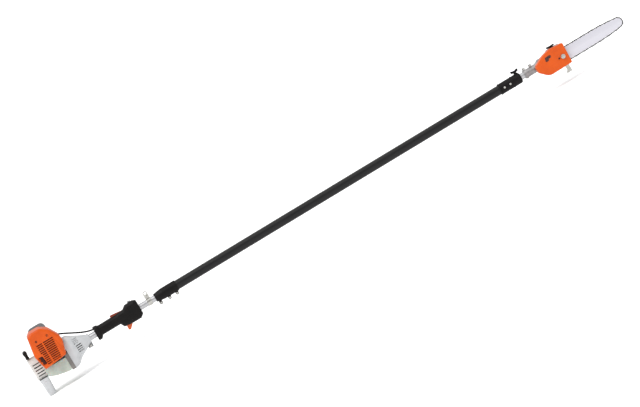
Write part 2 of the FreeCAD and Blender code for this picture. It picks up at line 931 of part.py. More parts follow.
def round_cap(radius, start, axis, height, plug_radius, plug_depth):
    """Ribbed screw cap with a plug on its underside."""
    cap = rod(radius, start, axis, height)
    plug = rod(plug_radius, start - axis * plug_depth, axis, plug_depth + 1)
    return fuse([cap, plug])


def fuel_cap():
    """Tank cap on the left side with a raised finger bar."""
    start = at(tank_cap_x, tank_half_width + seat_gap, tank_cap_z)
    body = round_cap(tank_cap_radius, start, along_y, 7, 8.6, 7)
    grip = block(
        (tank_cap_x - tank_cap_radius + 2, tank_cap_x + tank_cap_radius - 2),
        (tank_half_width + 6, tank_half_width + 12),
        (tank_cap_z - 2.5, tank_cap_z + 2.5),
    )
    return fuse([body, grip])


def rubber_buffer():
    """Dark block between the tank and the fan housing."""
    low = -68.0
    body = cross_plate(
        rectangle_corners(fan_half_width - 3, low, 6, 10), crankcase_front + touch_gap, fan_back - touch_gap
    )
    room = rod(crankcase_radius + 0.5, at(crankcase_front - 1, 0, 0), along_x, 40)
    return body.cut(room)


drum_bearing_x = fan_back + fan_flange + 46
neck_front = fan_back + fan_flange + fan_cone
shoe_x = fan_back + fan_flange + 17
fan_sections = [
    (fan_back, fan_half_width, fan_bottom, fan_top, fan_corner),
    (fan_back + fan_flange, fan_half_width, fan_bottom + 4, fan_top, fan_corner),
    (fan_back + fan_flange + 24, 48, -47, 44, 30),
    (fan_back + fan_flange + 58, 30, -30, 27, 24),
    (neck_front, neck_radius, -neck_radius, neck_radius, neck_radius),
]


def fan_housing():
    """Tapered housing from the engine to the drive tube, slotted round its cone."""
    outer = loft_along(fan_sections)
    hollow = loft_along(inset_sections(fan_sections[:4], fan_wall))
    mouth = cross_plate(
        rectangle_corners(
            fan_half_width - fan_wall, fan_bottom + fan_wall, fan_top - fan_wall, fan_corner - fan_wall
        ),
        fan_back - 1,
        fan_back + 0.5,
    )
    seat = rod(neck_radius + 6, at(drum_bearing_x, 0, 0), along_x, 14)
    shell = cut(outer, [hollow, mouth]).fuse(seat.common(outer))
    back_wall = ring(fan_half_width - 5, 30, at(fan_back, 0, 0), along_x, 3).common(outer)
    tools = [
        rod(tube_radius + touch_gap, at(drum_bearing_x + bearing_width + 6, 0, 0), along_x, 90),
        rod(bearing_radius + touch_gap, at(drum_bearing_x, 0, 0), along_x, bearing_width),
        rod(10, at(drum_bearing_x - 1, 0, 0), along_x, 30),
    ]
    slot_back = fan_back + fan_flange + 22
    for side in (-1, 1):
        for index in range(4):
            low = -26 + index * 8.5
            y_range = (20, 60) if side > 0 else (-60, -20)
            tools.append(block((slot_back, slot_back + 24), y_range, (low, low + 3.6)))
            high = 6 + index * 7.5
            tools.append(
                block((slot_back - 14, slot_back), y_range, (high + 8, high + 11.0))
            )
    return cut(shell.fuse(back_wall), tools)


def clamp_block():
    """Dark clamp block under the housing's neck, with its screw."""
    x_low = neck_front - 22
    body = block((x_low, x_low + 20), (-11, 11), (-34, -neck_radius - 0.6))
    hole = rod(screw_radius + touch_gap, at(x_low + 10, -20, -28), along_y, 60)
    return cut(body, [loft_along(fan_sections), hole])


def flywheel_fan():
    """Flywheel with a ring of blades that blows over the cylinder."""
    disc = rod(fan_radius, at(fan_back + 5, 0, 0), along_x, 5)
    hub = rod(12, at(fan_back + 4, 0, 0), along_x, 18)
    blades = []
    for index in range(fan_blades):
        blade = block((fan_back + 9, fan_back + 19), (18, fan_radius - 1), (-1.2, 1.2))
        blade.rotate(at(0, 0, 0), along_x, index * 360.0 / fan_blades)
        blades.append(blade)
    bore = rod(journal_radius + touch_gap, at(fan_back, 0, 0), along_x, 40)
    return cut(fuse([disc, hub] + blades), [bore])


def clutch_shoes():
    """Two centrifugal shoes on the crankshaft's front end."""
    body = ring(shoe_radius, journal_radius + touch_gap, at(shoe_x, 0, 0), along_x, 13)
    split = block((shoe_x - 1, shoe_x + 14), (-1.2, 1.2), (9, 60))
    other = block((shoe_x - 1, shoe_x + 14), (-1.2, 1.2), (-60, -9))
    return cut(body, [split, other])


def clutch_drum():
    """Cup round the shoes, with the stub shaft that takes the square rod."""
    inner = drum_radius - drum_wall
    cup = ring(drum_radius, inner, at(shoe_x, 0, 0), along_x, 20)
    floor = rod(drum_radius, at(shoe_x + 17, 0, 0), along_x, 3)
    stub = rod(journal_radius, at(shoe_x + 18, 0, 0), along_x, drum_bearing_x + 12 - shoe_x - 18)
    socket = block(
        (drum_bearing_x, drum_bearing_x + 20),
        (-square_half - touch_gap, square_half + touch_gap),
        (-square_half - touch_gap, square_half + touch_gap),
    )
    return fuse([cup, floor, stub]).cut(socket)


# ---------------------------------------------------------------- rear pole and handle
outer_tube_front = outer_tube_back + outer_tube_length


def drive_tube():
    """Bare tube from the fan housing into the outer tube."""
    start = drum_bearing_x + bearing_width + 6 + touch_gap
    return ring(
        tube_radius, tube_radius - tube_wall, at(start, 0, 0), along_x, drive_tube_end - start
    )


def drive_shaft_rear():
    """Square rod from the clutch drum to the front of the outer tube."""
    start = drum_bearing_x + touch_gap
    return block(
        (start, outer_tube_front - 20), (-square_half, square_half), (-square_half, square_half)
    )


def tube_bushes():
    """Plastic rings that keep the square rod on the drive tube's centre."""
    corner = square_half * math.sqrt(2) + 0.1
    rings = []
    for x in (handle_back + 2, handle_back + 167, handle_back + 332):
        rings.append(
            ring(tube_radius - tube_wall - touch_gap, corner, at(x, 0, 0), along_x, bush_length)
        )
    return Part.makeCompound(rings)


def handle_x(offset):
    """A station along the handle, counted from its rear end."""
    return handle_back + offset


handle_sections = [
    (handle_x(0), 19, -26, 27, 12),
    (handle_x(3), 22, -28, 29, 13),
    (handle_x(14), 22, -28, 29, 13),
    (handle_x(24), 20, -17, 24, 17),
    (handle_x(102), 20, -17, 25, 17),
    (handle_x(110), 20, -33, 26, 14),
    (handle_x(136), 22, -36, 27, 14),
    (handle_x(150), 25, -37, 38, 16),
    (handle_x(184), 25, -37, 40, 16),
    (handle_x(198), 20, -26, 34, 14),
]
handle_posts = [(handle_x(9), -21), (handle_x(168), -28), (handle_x(160), 27)]
handle_half_width_at_post = 21.5
trigger_pivot_x = handle_x(154)
trigger_pivot_z = -24.0
lockout_pivot_x = handle_x(128)
lockout_pivot_z = 21.5
switch_x = handle_x(166)
cable_points = [
    (102, 46, 80),
    (118, 24, 79),
    (134, 8, 75),
    (156, 2, 65),
    (182, 0, 51),
    (210, 0, 36),
    (238, 2, 24),
    (264, 7, 18.5),
    (292, 12, 14.5),
    (330, 12, 14.5 + 0.4),
    (372, 12, 14.5),
]


def cable_wire():
    """The throttle cable's middle line: straight runs joined by tangent arcs."""
    points = [at(*p) for p in cable_points]
    edges = []
    start = points[0]
    for index in range(1, len(points) - 1):
        before = points[index] - points[index - 1]
        after = points[index + 1] - points[index]
        turn = before.getAngle(after)
        shorter = min(before.Length, after.Length)
        reach = 0.45 * shorter
        radius = reach / math.tan(turn / 2)
        into = points[index] - before.normalize() * reach
        out = points[index] + after.normalize() * reach
        bisector = (into + out) * 0.5 - points[index]
        bisector.normalize()
        middle = points[index] + bisector * (radius / math.cos(turn / 2) - radius)
        edges.append(Part.LineSegment(start, into).toShape())
        edges.append(Part.Arc(into, middle, out).toShape())
        print("throttle cable arc", index, "radius", round(radius, 1))
        start = out
    edges.append(Part.LineSegment(start, points[-1]).toShape())
    return Part.Wire(edges)


def cable_solid(radius):
    """A round tube of the given radius along the cable's middle line."""
    path = cable_wire()
    first = at(*cable_points[0])
    direction = at(*cable_points[1]) - first
    profile = Part.Wire(Part.makeCircle(radius, first, direction))
    return path.makePipeShell([profile], True, False)


def handle_tools():
    """Everything that is cut from the handle's shells."""
    front = handle_x(198)
    hollow_sections = handle_sections[2:-1] + [(handle_x(194), 21, -29, 35.7, 14)]
    inner = loft_along(inset_sections(hollow_sections, handle_wall))
    tools = [
        inner.cut(ring(tube_radius + 5, tube_radius - 1, at(handle_x(60), 0, 0), along_x, 6)),
        rod(tube_radius + touch_gap, at(handle_back - 1, 0, 0), along_x, front - handle_back + 2),
        block(
            (handle_x(110), handle_x(152)),
            (-trigger_half_width - moving_gap, trigger_half_width + moving_gap),
            (-60, -20),
        ),
        block(
            (handle_x(78), handle_x(134)),
            (-lockout_half_width - moving_gap, lockout_half_width + moving_gap),
            (19, 50),
        ),
        block(
            (switch_x - 1, switch_x + switch_length + switch_travel + 1), (-4.4, 4.4), (30, 60)
        ),
        cable_solid(cable_radius + seat_gap),
    ]
    return tools


def handle_shell(side):
    """One half of the handle, on the left (1) or the right (-1) of the pole's plane."""
    body = loft_along(handle_sections)
    body = cut(body, handle_tools())
    posts = []
    for x, z in handle_posts:
        posts.append(rod(4.5, at(x, -30, z), along_y, 60))
    posts.append(rod(5.5, at(trigger_pivot_x, -30, trigger_pivot_z), along_y, 60).cut(
        rod(6, at(trigger_pivot_x, -trigger_half_width - moving_gap, trigger_pivot_z), along_y,
            2 * trigger_half_width + 2 * moving_gap)))
    posts.append(rod(4.0, at(lockout_pivot_x, -30, lockout_pivot_z), along_y, 60).cut(
        rod(6, at(lockout_pivot_x, -lockout_half_width - moving_gap, lockout_pivot_z), along_y,
            2 * lockout_half_width + 2 * moving_gap)))
    outline = loft_along(handle_sections)
    tube_room = rod(tube_radius + touch_gap, at(handle_back - 1, 0, 0), along_x, 300)
    pieces = [body] + [post.common(outline).cut(tube_room) for post in posts]
    body = fuse(pieces)
    for x, z in handle_posts:
        start = at(x, -handle_half_width_at_post, z)
        body = body.cut(screw_hole(start, along_y, 2 * handle_half_width_at_post))
    body = body.cut(rod(2.5 + running_gap, at(trigger_pivot_x, -12, trigger_pivot_z), along_y, 24))
    body = body.cut(rod(2.0 + running_gap, at(lockout_pivot_x, -12, lockout_pivot_z), along_y, 24))
    body = body.cut(cable_solid(cable_radius + seat_gap))
    half_space = (0, 80) if side > 0 else (-80, 0)
    return body.common(block((handle_back - 5, handle_back + 250), half_space, (-80, 80)))


def throttle_trigger():
    """Orange trigger on its cross pin."""
    px = trigger_pivot_x
    pz = trigger_pivot_z
    corners = [
        (px + 4, pz + 4, 3),
        (px + 4, pz - 5, 3),
        (px - 9, pz - 12, 2),
        (px - 28, pz - 31, 3),
        (px - 36, pz - 28, 3),
        (px - 35, pz - 12, 3),
        (px - 39, pz - 3.6, 1.2),
        (px - 38, pz + 0.4, 1.2),
    ]
    blade = side_plate(corners, -trigger_half_width, trigger_half_width)
    pin = rod(2.5, at(px, -11, pz), along_y, 22)
    return fuse([blade, pin])


def throttle_lockout():
    """Orange lever on top of the grip, pressed by the palm."""
    px = lockout_pivot_x
    pz = lockout_pivot_z
    corners = [
        (px + 4, pz + 5, 3),
        (px + 4, pz - 3.6, 3),
        (px - 6, pz - 3, 1),
        (px - 46, pz + 1, 2),
        (px - 49, pz + 9, 2),
        (px - 42, pz + 11, 3),
        (px - 6, pz + 6.5, 3),
    ]
    blade = side_plate(corners, -lockout_half_width, lockout_half_width)
    pin = rod(2.0, at(px, -11, pz), along_y, 22)
    return fuse([blade, pin])


def stop_switch():
    """Slide button in the top of the handle, with its retaining plate below the shell."""
    shell_top = 39.4
    x_low = switch_x
    button = block((x_low, x_low + switch_length), (-6, 6), (shell_top + 0.9, shell_top + 5))
    waist = block((x_low, x_low + switch_length), (-4, 4), (shell_top - 6, shell_top + 1))
    plate_height = (shell_top - 7, shell_top - handle_wall - 1.4)
    plate = block((x_low - 2, x_low + switch_length + 2), (-6, 6), plate_height)
    ridges = [
        block((x_low + step, x_low + step + 1.2), (-6, 6), (shell_top + 4, shell_top + 6))
        for step in (1.4, 5.4, 9.4)
    ]
    return fuse([button, waist, plate] + ridges)


def carrying_eye():
    """Clamp band round the drive tube with an upright plate and its strap hole."""
    half = eye_half_width
    x_low = eye_station - half
    band = ring(tube_radius + band_thickness, tube_radius + touch_gap, at(x_low, 0, 0), along_x, 2 * half)
    plate = side_plate(
        [
            (x_low, tube_radius, 0),
            (x_low + 2 * half, tube_radius, 0),
            (x_low + 2 * half, eye_rise + half, half - 0.1),
            (x_low, eye_rise + half, half - 0.1),
        ],
        0.5,
        0.5 + eye_plate,
    )
    ear = side_plate(
        [
            (x_low, tube_radius, 0),
            (x_low + 2 * half, tube_radius, 0),
            (x_low + 2 * half, tube_radius + 13, 5),
            (x_low, tube_radius + 13, 5),
        ],
        -0.5 - eye_plate,
        -0.5,
    )
    body = fuse([band, plate, ear])
    tools = [
        block((x_low - 1, x_low + 2 * half + 1), (-0.5, 0.5), (0, tube_radius + 20)),
        rod(tube_radius + touch_gap, at(x_low - 1, 0, 0), along_x, 2 * half + 2),
        rod(eye_bore, at(eye_station, -10, eye_rise), along_y, 20),
        rod(screw_radius + touch_gap, at(eye_station, -10, tube_radius + 8), along_y, 20),
    ]
    return cut(body, tools)


# ---------------------------------------------------------------- outer tube and its clamps
lug_stations = (rear_clamp_back + 12, rear_clamp_back + 51, rear_clamp_back + 84)
lug_drop = -clamp_radius - 5.0
front_clamp_back = outer_tube_front - front_clamp_overlap
front_clamp_front = front_clamp_back + front_clamp_length
front_screw_stations = (front_clamp_back + 20, front_clamp_back + 46)
knob_x = front_clamp_front - 10


def outer_tube():
    """Black tube that the inner tube slides in."""
    tube = ring(
        outer_radius, outer_radius - outer_wall, at(outer_tube_back, 0, 0), along_x, outer_tube_length
    )
    return cut(tube, front_screw_room())


def front_screw_room():
    """Room for the two screws through the front clamp and the outer tube."""
    return [
        screw_hole(at(x, -clamp_radius - 0.6, 0), along_y, 4.5) for x in front_screw_stations
    ]


def rear_clamp():
    """Sleeve that joins the drive tube to the outer tube, with three screw lugs below."""
    taper = 33.0
    cone = Part.makeCone(
        tube_radius + 4, clamp_radius, taper, at(rear_clamp_back, 0, 0), along_x
    )
    barrel = rod(
        clamp_radius, at(rear_clamp_back + taper, 0, 0), along_x, rear_clamp_length - taper
    )
    lugs = []
    for x in lug_stations:
        web = block((x - lug_radius, x + lug_radius), (-9, 9), (lug_drop, -12))
        lugs.append(web)
        lugs.append(rod(lug_radius, at(x, -9, lug_drop), along_y, 18))
    body = fuse([cone, barrel] + lugs)
    tools = [
        rod(tube_radius + touch_gap, at(rear_clamp_back - 1, 0, 0), along_x, rear_clamp_length + 2),
        rod(outer_radius + touch_gap, at(outer_tube_back - touch_gap, 0, 0), along_x, 200),
        block(
            (rear_clamp_back - 1, rear_clamp_back + rear_clamp_length + 1), (-1, 1), (-60, -tube_radius + 2)
        ),
    ]
    for x in lug_stations:
        tools.append(screw_hole(at(x, -9 - 0.6, lug_drop), along_y, 20))
    return cut(body, tools)


def front_clamp():
    """Rounded clamp on the outer tube's front end that guides the inner tube."""
    body = rod(clamp_radius, at(front_clamp_back, 0, 0), along_x, front_clamp_length)
    edges = [
        e for e in body.Edges
        if abs(e.BoundBox.XMin - front_clamp_front) < 0.01 and e.BoundBox.XLength < 0.01
    ]
    body = body.makeFillet(7, edges)
    boss = rod(8, at(knob_x - 2, 0, 10), along_z, clamp_radius - 10 + 1)
    bands = [
        ring(clamp_radius + 1.2, clamp_radius - 1, at(front_clamp_back + d, 0, 0), along_x, 4)
        for d in (2, 58)
    ]
    body = fuse([body, boss] + bands)
    tools = [
        rod(
            outer_radius + touch_gap,
            at(front_clamp_back - 1, 0, 0),
            along_x,
            front_clamp_overlap + 1 + touch_gap,
        ),
        rod(tube_radius + moving_gap, at(front_clamp_back, 0, 0), along_x, 200),
        rod(4 + running_gap, at(knob_x - 2, 0, 5), along_z, 40),
    ]
    return cut(body, tools + front_screw_room())


def clamp_screws():
    """Screws of the front clamp, the rear clamp, the carrying eye and the housing's clamp block."""
    screws = [cap_screw(at(x, -clamp_radius - 0.6, 0), along_y, 4.3) for x in front_screw_stations]
    for x in lug_stations:
        screws.append(cap_screw(at(x, -9 - 0.6, lug_drop), along_y, 16))
    head_y = -0.5 - eye_plate - screw_head_height
    screws.append(cap_screw(at(eye_station, head_y, tube_radius + 8), along_y, 8))
    screws.append(cap_screw(at(neck_front - 12, -11 - screw_head_height, -28), along_y, 21))
    return Part.makeCompound(screws)


def wing_knob():
    """Two-winged clamp knob whose bolt bears on the inner tube."""
    x = knob_x - 2
    base = clamp_radius + 1 + seat_gap
    stem = rod(6, at(x, 0, base), along_z, 4)
    bolt = rod(4, at(x, 0, tube_radius + moving_gap), along_z, base - tube_radius)
    wing_corners = [
        (x - knob_half_width, base + 6, 2),
        (x - 5, base + 3, 2),
        (x + 5, base + 3, 2),
        (x + knob_half_width, base + 6, 2),
        (x + knob_half_width, base + knob_height, 2),
        (x + 5, base + 12, 2),
        (x - 5, base + 12, 2),
        (x - knob_half_width, base + knob_height, 2),
    ]
    wings = side_plate(wing_corners, -knob_half_depth, knob_half_depth)
    return fuse([stem, bolt, wings])


# ---------------------------------------------------------------- sliding pole
inner_tube_front = inner_tube_back + inner_tube_length


def inner_tube():
    """Bare tube that slides out of the outer tube and carries the saw head."""
    return ring(
        tube_radius, tube_radius - tube_wall, at(inner_tube_back, 0, 0), along_x, inner_tube_length
    )


def inner_bushes():
    """Rings that carry the front drive shaft in the inner tube, and the sliding ring at its rear end."""
    rings = []
    count = int((inner_tube_length - 60) // bush_spacing) + 1
    for index in range(count):
        x = inner_tube_back + 30 + index * bush_spacing
        rings.append(
            ring(
                tube_radius - tube_wall - touch_gap,
                front_shaft_radius + running_gap,
                at(x, 0, 0),
                along_x,
                bush_length,
            )
        )
    rings.append(
        ring(
            outer_radius - outer_wall - moving_gap,
            tube_radius + touch_gap,
            at(inner_tube_back + 8, 0, 0),
            along_x,
            40,
        )
    )
    return Part.makeCompound(rings)


def drive_shaft_front():
    """Tube with a square bore that slides on the square rod, and the bevel pinion at its front."""
    start = inner_tube_back + 6
    end = bevel_x - gear_radius - 8
    tube = rod(front_shaft_radius, at(start, 0, 0), along_x, end - start)
    bore_half = square_half + running_gap + 0.05
    bore = block((start - 1, inner_tube_front), (-bore_half, bore_half), (-bore_half, bore_half))
    return Part.makeCompound([tube.cut(bore), bevel_pinion(end)])


def bevel_pinion(shaft_end):
    """Pinion cone whose big end faces the pole."""
    big_x = bevel_x - gear_radius
    ratio = pinion_radius / gear_radius
    small = pinion_radius - bevel_face * ratio
    cone = Part.makeCone(
        pinion_radius - seat_gap, small - seat_gap, bevel_face, at(big_x, 0, 0), along_x
    )
    hub = rod(6.5, at(shaft_end + touch_gap, 0, 0), along_x, big_x - shaft_end - touch_gap)
    return cone.fuse(hub).removeSplitter()


# ---------------------------------------------------------------- saw head
bar_z = -bar_drop
plate_face = cover_far + 0.1


def gear_housing():
    """Cast housing of the bevel gears with its clamp neck, the bar's seat and the oil tank."""
    neck = rod(head_neck_radius, at(head_back, 0, 0), along_x, head_neck_length)
    collar = rod(head_neck_radius + 2.5, at(head_back + 4, 0, 0), along_x, 10)
    lugs = []
    for x in (head_back + 9, head_back + 38):
        lugs.append(block((x - 5, x + 5), (-8, 8), (8, head_neck_radius + 9)))
    cone = Part.makeCone(
        head_neck_radius, 24, 20, at(head_back + head_neck_length - 8, 0, 0), along_x
    )
    box = side_plate(
        [
            (head_back + head_neck_length + 6, -24, 8),
            (bevel_x + 26, -24, 4),
            (bevel_x + 26, 24, 4),
            (head_back + head_neck_length + 6, 24, 8),
        ],
        plate_face,
        20,
    )
    seat = side_plate(
        [
            (bevel_x - 48, -30, 14),
            (bevel_x - 26, -44, 12),
            (bevel_x + 64, -44, 4),
            (bevel_x + 68, 34, 4),
            (bevel_x + 12, 34, 8),
            (bevel_x - 28, 26, 12),
        ],
        plate_face,
        plate_face + 6,
    )
    tank = side_plate(
        [
            (bevel_x + 10, 22, 2),
            (bevel_x + 24, 22, 0),
            (bevel_x + 24, -32, 6),
            (bevel_x + 68, -32, 6),
            (bevel_x + 68, 36, 5),
            (bevel_x + 10, 36, 6),
        ],
        plate_face + 1,
        32,
    )
    body = fuse([neck, collar, cone, box, seat, tank] + lugs)
    tank_inner = side_plate(
        [
            (bevel_x + 29, -28, 4),
            (bevel_x + 64, -28, 4),
            (bevel_x + 64, 32, 3),
            (bevel_x + 29, 32, 3),
        ],
        plate_face + 8,
        28,
    )
    slot = block((head_back - 1, head_back + 50), (-1, 1), (0, 60))
    gear_room = rod(gear_radius + 2.5, at(bevel_x, -19.5, 0), along_y, 25)
    pinion_room = rod(12, at(bevel_x - 28, 0, 0), along_x, 26)
    tools = [
        rod(tube_radius + touch_gap, at(head_back - 1, 0, 0), along_x, inner_tube_front - head_back + 1.3),
        rod(front_shaft_radius + moving_gap, at(head_back, 0, 0), along_x, bevel_x - head_back - 10),
        slot,
        gear_room,
        pinion_room,
        tank_inner,
        rod(sprocket_shaft_radius + running_gap, at(bevel_x, -60, 0), along_y, 76),
        rod(9, at(oil_cap_x, 0, 25), along_z, 30),
        rod(stud_radius + touch_gap, at(stud_x, plate_face - 1, bar_z), along_y, 20),
        rod(3 + running_gap, at(tensioner_x, plate_face - 1, bar_z), along_y, 6),
    ]
    for x in (head_back + 9, head_back + 38):
        tools.append(rod(screw_radius + touch_gap, at(x, -20, head_neck_radius + 5), along_y, 40))
    return cut(body, tools)


def oil_cap():
    """Finger-bar cap of the chain oil tank."""
    top = 36.0 + seat_gap
    plug = rod(8.6, at(oil_cap_x, 0, top - 6), along_z, 7)
    disc = rod(oil_cap_radius - 2, at(oil_cap_x, 0, top), along_z, 3)
    neck = rod(8, at(oil_cap_x, 0, top + 2), along_z, 4)
    wing_corners = [
        (oil_cap_x - 17, top + 4.5, 2),
        (oil_cap_x + 17, top + 4.5, 2),
        (oil_cap_x + 17, top + 12, 3),
        (oil_cap_x + 9, top + 10, 3),
        (oil_cap_x - 9, top + 10, 3),
        (oil_cap_x - 17, top + 12, 3),
    ]
    wings = side_plate(wing_corners, -4, 4)
    return fuse([plug, disc, neck, wings])


def head_screws():
    """Neck clamp screws and the bar's stud."""
    screws = []
    for x in (head_back + 9, head_back + 38):
        screws.append(
            cap_screw(at(x, -8 - screw_head_height, head_neck_radius + 5), along_y, 15.5)
        )
    stud = rod(stud_radius, at(stud_x, cover_near - 8, bar_z), along_y, plate_face + 12 - cover_near + 8)
    screws.append(stud)
    return Part.makeCompound(screws)


def bar_nut():
    """Flanged hexagon nut that clamps the cover and the bar."""
    near = cover_near - seat_gap
    flange = rod(9, at(stud_x, near - 1.6, bar_z), along_y, 1.6)
    corners = []
    for index in range(6):
        angle = math.radians(60 * index + 15)
        corners.append((stud_x + 7.5 * math.cos(angle), bar_z + 7.5 * math.sin(angle), 0))
    hexagon = side_plate(corners, near - 7, near - 1.5)
    bore = rod(stud_radius + running_gap, at(stud_x, near - 10, bar_z), along_y, 20)
    return fuse([flange, hexagon]).cut(bore)


def chain_tensioner():
    """Slotted screw behind the cover's small hole."""
    body = rod(3, at(tensioner_x, plate_face - 14, bar_z), along_y, 18)
    slot = block(
        (tensioner_x - 4, tensioner_x + 4), (plate_face - 15, plate_face - 12.8), (bar_z - 0.6, bar_z + 0.6)
    )
    return body.cut(slot)


def bevel_gear():
    """Gear cone on the sprocket's shaft, facing the pinion."""
    big_y = -pinion_radius
    ratio = gear_radius / pinion_radius
    face = bevel_face * pinion_radius / gear_radius
    small = gear_radius - face * ratio
    cone = Part.makeCone(
        gear_radius - seat_gap, small - seat_gap, face, at(bevel_x, big_y, 0), along_y
    )
    back = rod(gear_radius - seat_gap, at(bevel_x, big_y - 7, 0), along_y, 7.2)
    bore = rod(sprocket_shaft_radius + touch_gap, at(bevel_x, -40, 0), along_y, 60)
    return fuse([cone, back]).cut(bore)


def drive_sprocket():
    """Chain sprocket on its shaft."""
    shaft = rod(sprocket_shaft_radius, at(bevel_x, bar_plane - 10, 0), along_y, 54)
    tip = sprocket_pitch_radius - 5.6
    wheel = rod(tip, at(bevel_x, bar_plane - 3.5, 0), along_y, 7)
    gaps = []
    for index in range(7):
        angle = 2 * math.pi * index / 7
        gaps.append(
            rod(
                2.6,
                at(bevel_x + tip * math.cos(angle), bar_plane - 5, tip * math.sin(angle)),
                along_y,
                10,
            )
        )
    washer = rod(11, at(bevel_x, bar_plane - 6.5, 0), along_y, 2)
    return fuse([cut(wheel, gaps), shaft, washer])


# The bar and chain follow a belt round circles, given clockwise as seen from the right side.
def belt_circles(offset, with_sprocket):
    """Circles (x, z, radius) that the bar's edge, moved out by an offset, is wrapped round."""
    rise = bar_half_height - bar_nose_radius
    run = bar_nose_x - bar_shoulder_x
    shoulder = (run ** 2 + bar_half_height ** 2 - bar_nose_radius ** 2) / (2 * rise)
    drop = shoulder - bar_half_height
    tail = bar_half_height - bar_tail_round
    circles = [
        (bar_tail_x, bar_z + tail, bar_tail_round + offset),
        (bar_shoulder_x, bar_z - drop, shoulder + offset),
        (bar_nose_x, bar_z, bar_nose_radius + offset),
        (bar_shoulder_x, bar_z + drop, shoulder + offset),
        (bar_tail_x, bar_z - tail, bar_tail_round + offset),
    ]
    if with_sprocket:
        circles.insert(0, (bevel_x, 0.0, sprocket_pitch_radius))
    return circles


def belt_contacts(circles):
    """For each circle, the angles where the belt meets and leaves it, going clockwise."""
    count = len(circles)
    leaving = []
    for index in range(count):
        x0, z0, r0 = circles[index]
        x1, z1, r1 = circles[(index + 1) % count]
        distance = math.hypot(x1 - x0, z1 - z0)
        heading = math.atan2(z1 - z0, x1 - x0)
        share = max(-1.0, min(1.0, (r0 - r1) / distance))
        leaving.append(heading + math.acos(share))
    contacts = []
    for index in range(count):
        meet = leaving[index - 1]
        leave = leaving[index]
        while leave > meet:
            leave -= 2 * math.pi
        while leave < meet - 2 * math.pi + 1e-9:
            leave += 2 * math.pi
        contacts.append((meet, leave))
    return contacts


def on_circle(circle, angle):
    """Point of a circle at an angle from +X towards +Z."""
    x, z, radius = circle
    return (x + radius * math.cos(angle), z + radius * math.sin(angle))


def bar_outline(offset, y):
    """Closed wire round the bar, moved out by an offset."""
    circles = belt_circles(offset, False)
    contacts = belt_contacts(circles)
    edges = []
    for index, circle in enumerate(circles):
        meet, leave = contacts[index]
        points = [on_circle(circle, a) for a in (meet, (meet + leave) / 2, leave)]
        edges.append(Part.Arc(*[at(x, y, z) for x, z in points]).toShape())
        following = (index + 1) % len(circles)
        ahead = on_circle(circles[following], contacts[following][0])
        start = at(points[2][0], y, points[2][1])
        end = at(ahead[0], y, ahead[1])
        if start.distanceToPoint(end) > 0.01:
            edges.append(Part.LineSegment(start, end).toShape())
    return Part.Wire(Part.__sortEdges__(edges))


def bar_slab(offset, thickness):
    """A plate of the bar's outline, centred on the bar's plane."""
    face = Part.Face(bar_outline(offset, bar_plane - thickness / 2))
    return face.extrude(along_y * thickness)


def guide_bar():
    """Bar with its chain groove, the stud slot, the tensioner hole and the pocket of the nose sprocket."""
    body = bar_slab(0, bar_thickness)
    groove = bar_slab(1, bar_groove).cut(bar_slab(-bar_groove_depth, bar_groove + 1))
    slot = side_plate(
        [
            (stud_x - 14, bar_z - stud_radius - 0.3, stud_radius),
            (stud_x + 12, bar_z - stud_radius - 0.3, stud_radius),
            (stud_x + 12, bar_z + stud_radius + 0.3, stud_radius),
            (stud_x - 14, bar_z + stud_radius + 0.3, stud_radius),
        ],
        bar_plane - 10,
        bar_plane + 10,
    )
    hole = rod(3.5, at(tensioner_x, bar_plane - 10, bar_z), along_y, 20)
    pocket = rod(
        bar_nose_radius - 1.5, at(bar_nose_x, bar_plane - bar_groove / 2, bar_z), along_y, bar_groove
    )
    rivet = rod(3.0, at(bar_nose_x, bar_plane - bar_groove / 2 - 0.1, bar_z), along_y, bar_groove + 0.2)
    return fuse([cut(body, [groove, slot, hole, pocket]), rivet])


def nose_sprocket():
    """Thin toothed wheel in the bar's nose."""
    thickness = bar_groove - 0.4
    tip = bar_nose_radius - 4.4
    near = bar_plane - thickness / 2
    wheel = rod(tip, at(bar_nose_x, near, bar_z), along_y, thickness)
    gaps = []
    for index in range(9):
        angle = 2 * math.pi * index / 9
        x = bar_nose_x + tip * math.cos(angle)
        z = bar_z + tip * math.sin(angle)
        gaps.append(rod(1.4, at(x, near - 1, z), along_y, 5))
    bore = rod(3.0 + running_gap, at(bar_nose_x, near - 1, bar_z), along_y, 5)
    return cut(wheel, gaps + [bore])


def chain_stations(offset, count):
    """Evenly spaced (x, z, heading) places along the chain's rivet line."""
    circles = belt_circles(offset, True)
    contacts = belt_contacts(circles)
    pieces = []
    for index, circle in enumerate(circles):
        meet, leave = contacts[index]
        pieces.append(("arc", circle, meet, circle[2] * (meet - leave)))
        start = on_circle(circle, leave)
        following = (index + 1) % len(circles)
        end = on_circle(circles[following], contacts[following][0])
        pieces.append(("line", start, end, math.dist(start, end)))
    total = sum(piece[3] for piece in pieces)
    stations = []
    for number in range(count):
        travel = total * number / count
        for kind, first, second, length in pieces:
            if travel <= length:
                break
            travel -= length
        if kind == "arc":
            angle = second - travel / first[2]
            x, z = on_circle(first, angle)
        else:
            share = travel / max(length, 1e-9)
            x = first[0] + (second[0] - first[0]) * share
            z = first[1] + (second[1] - first[1]) * share
        stations.append((x, z))
    return stations, total


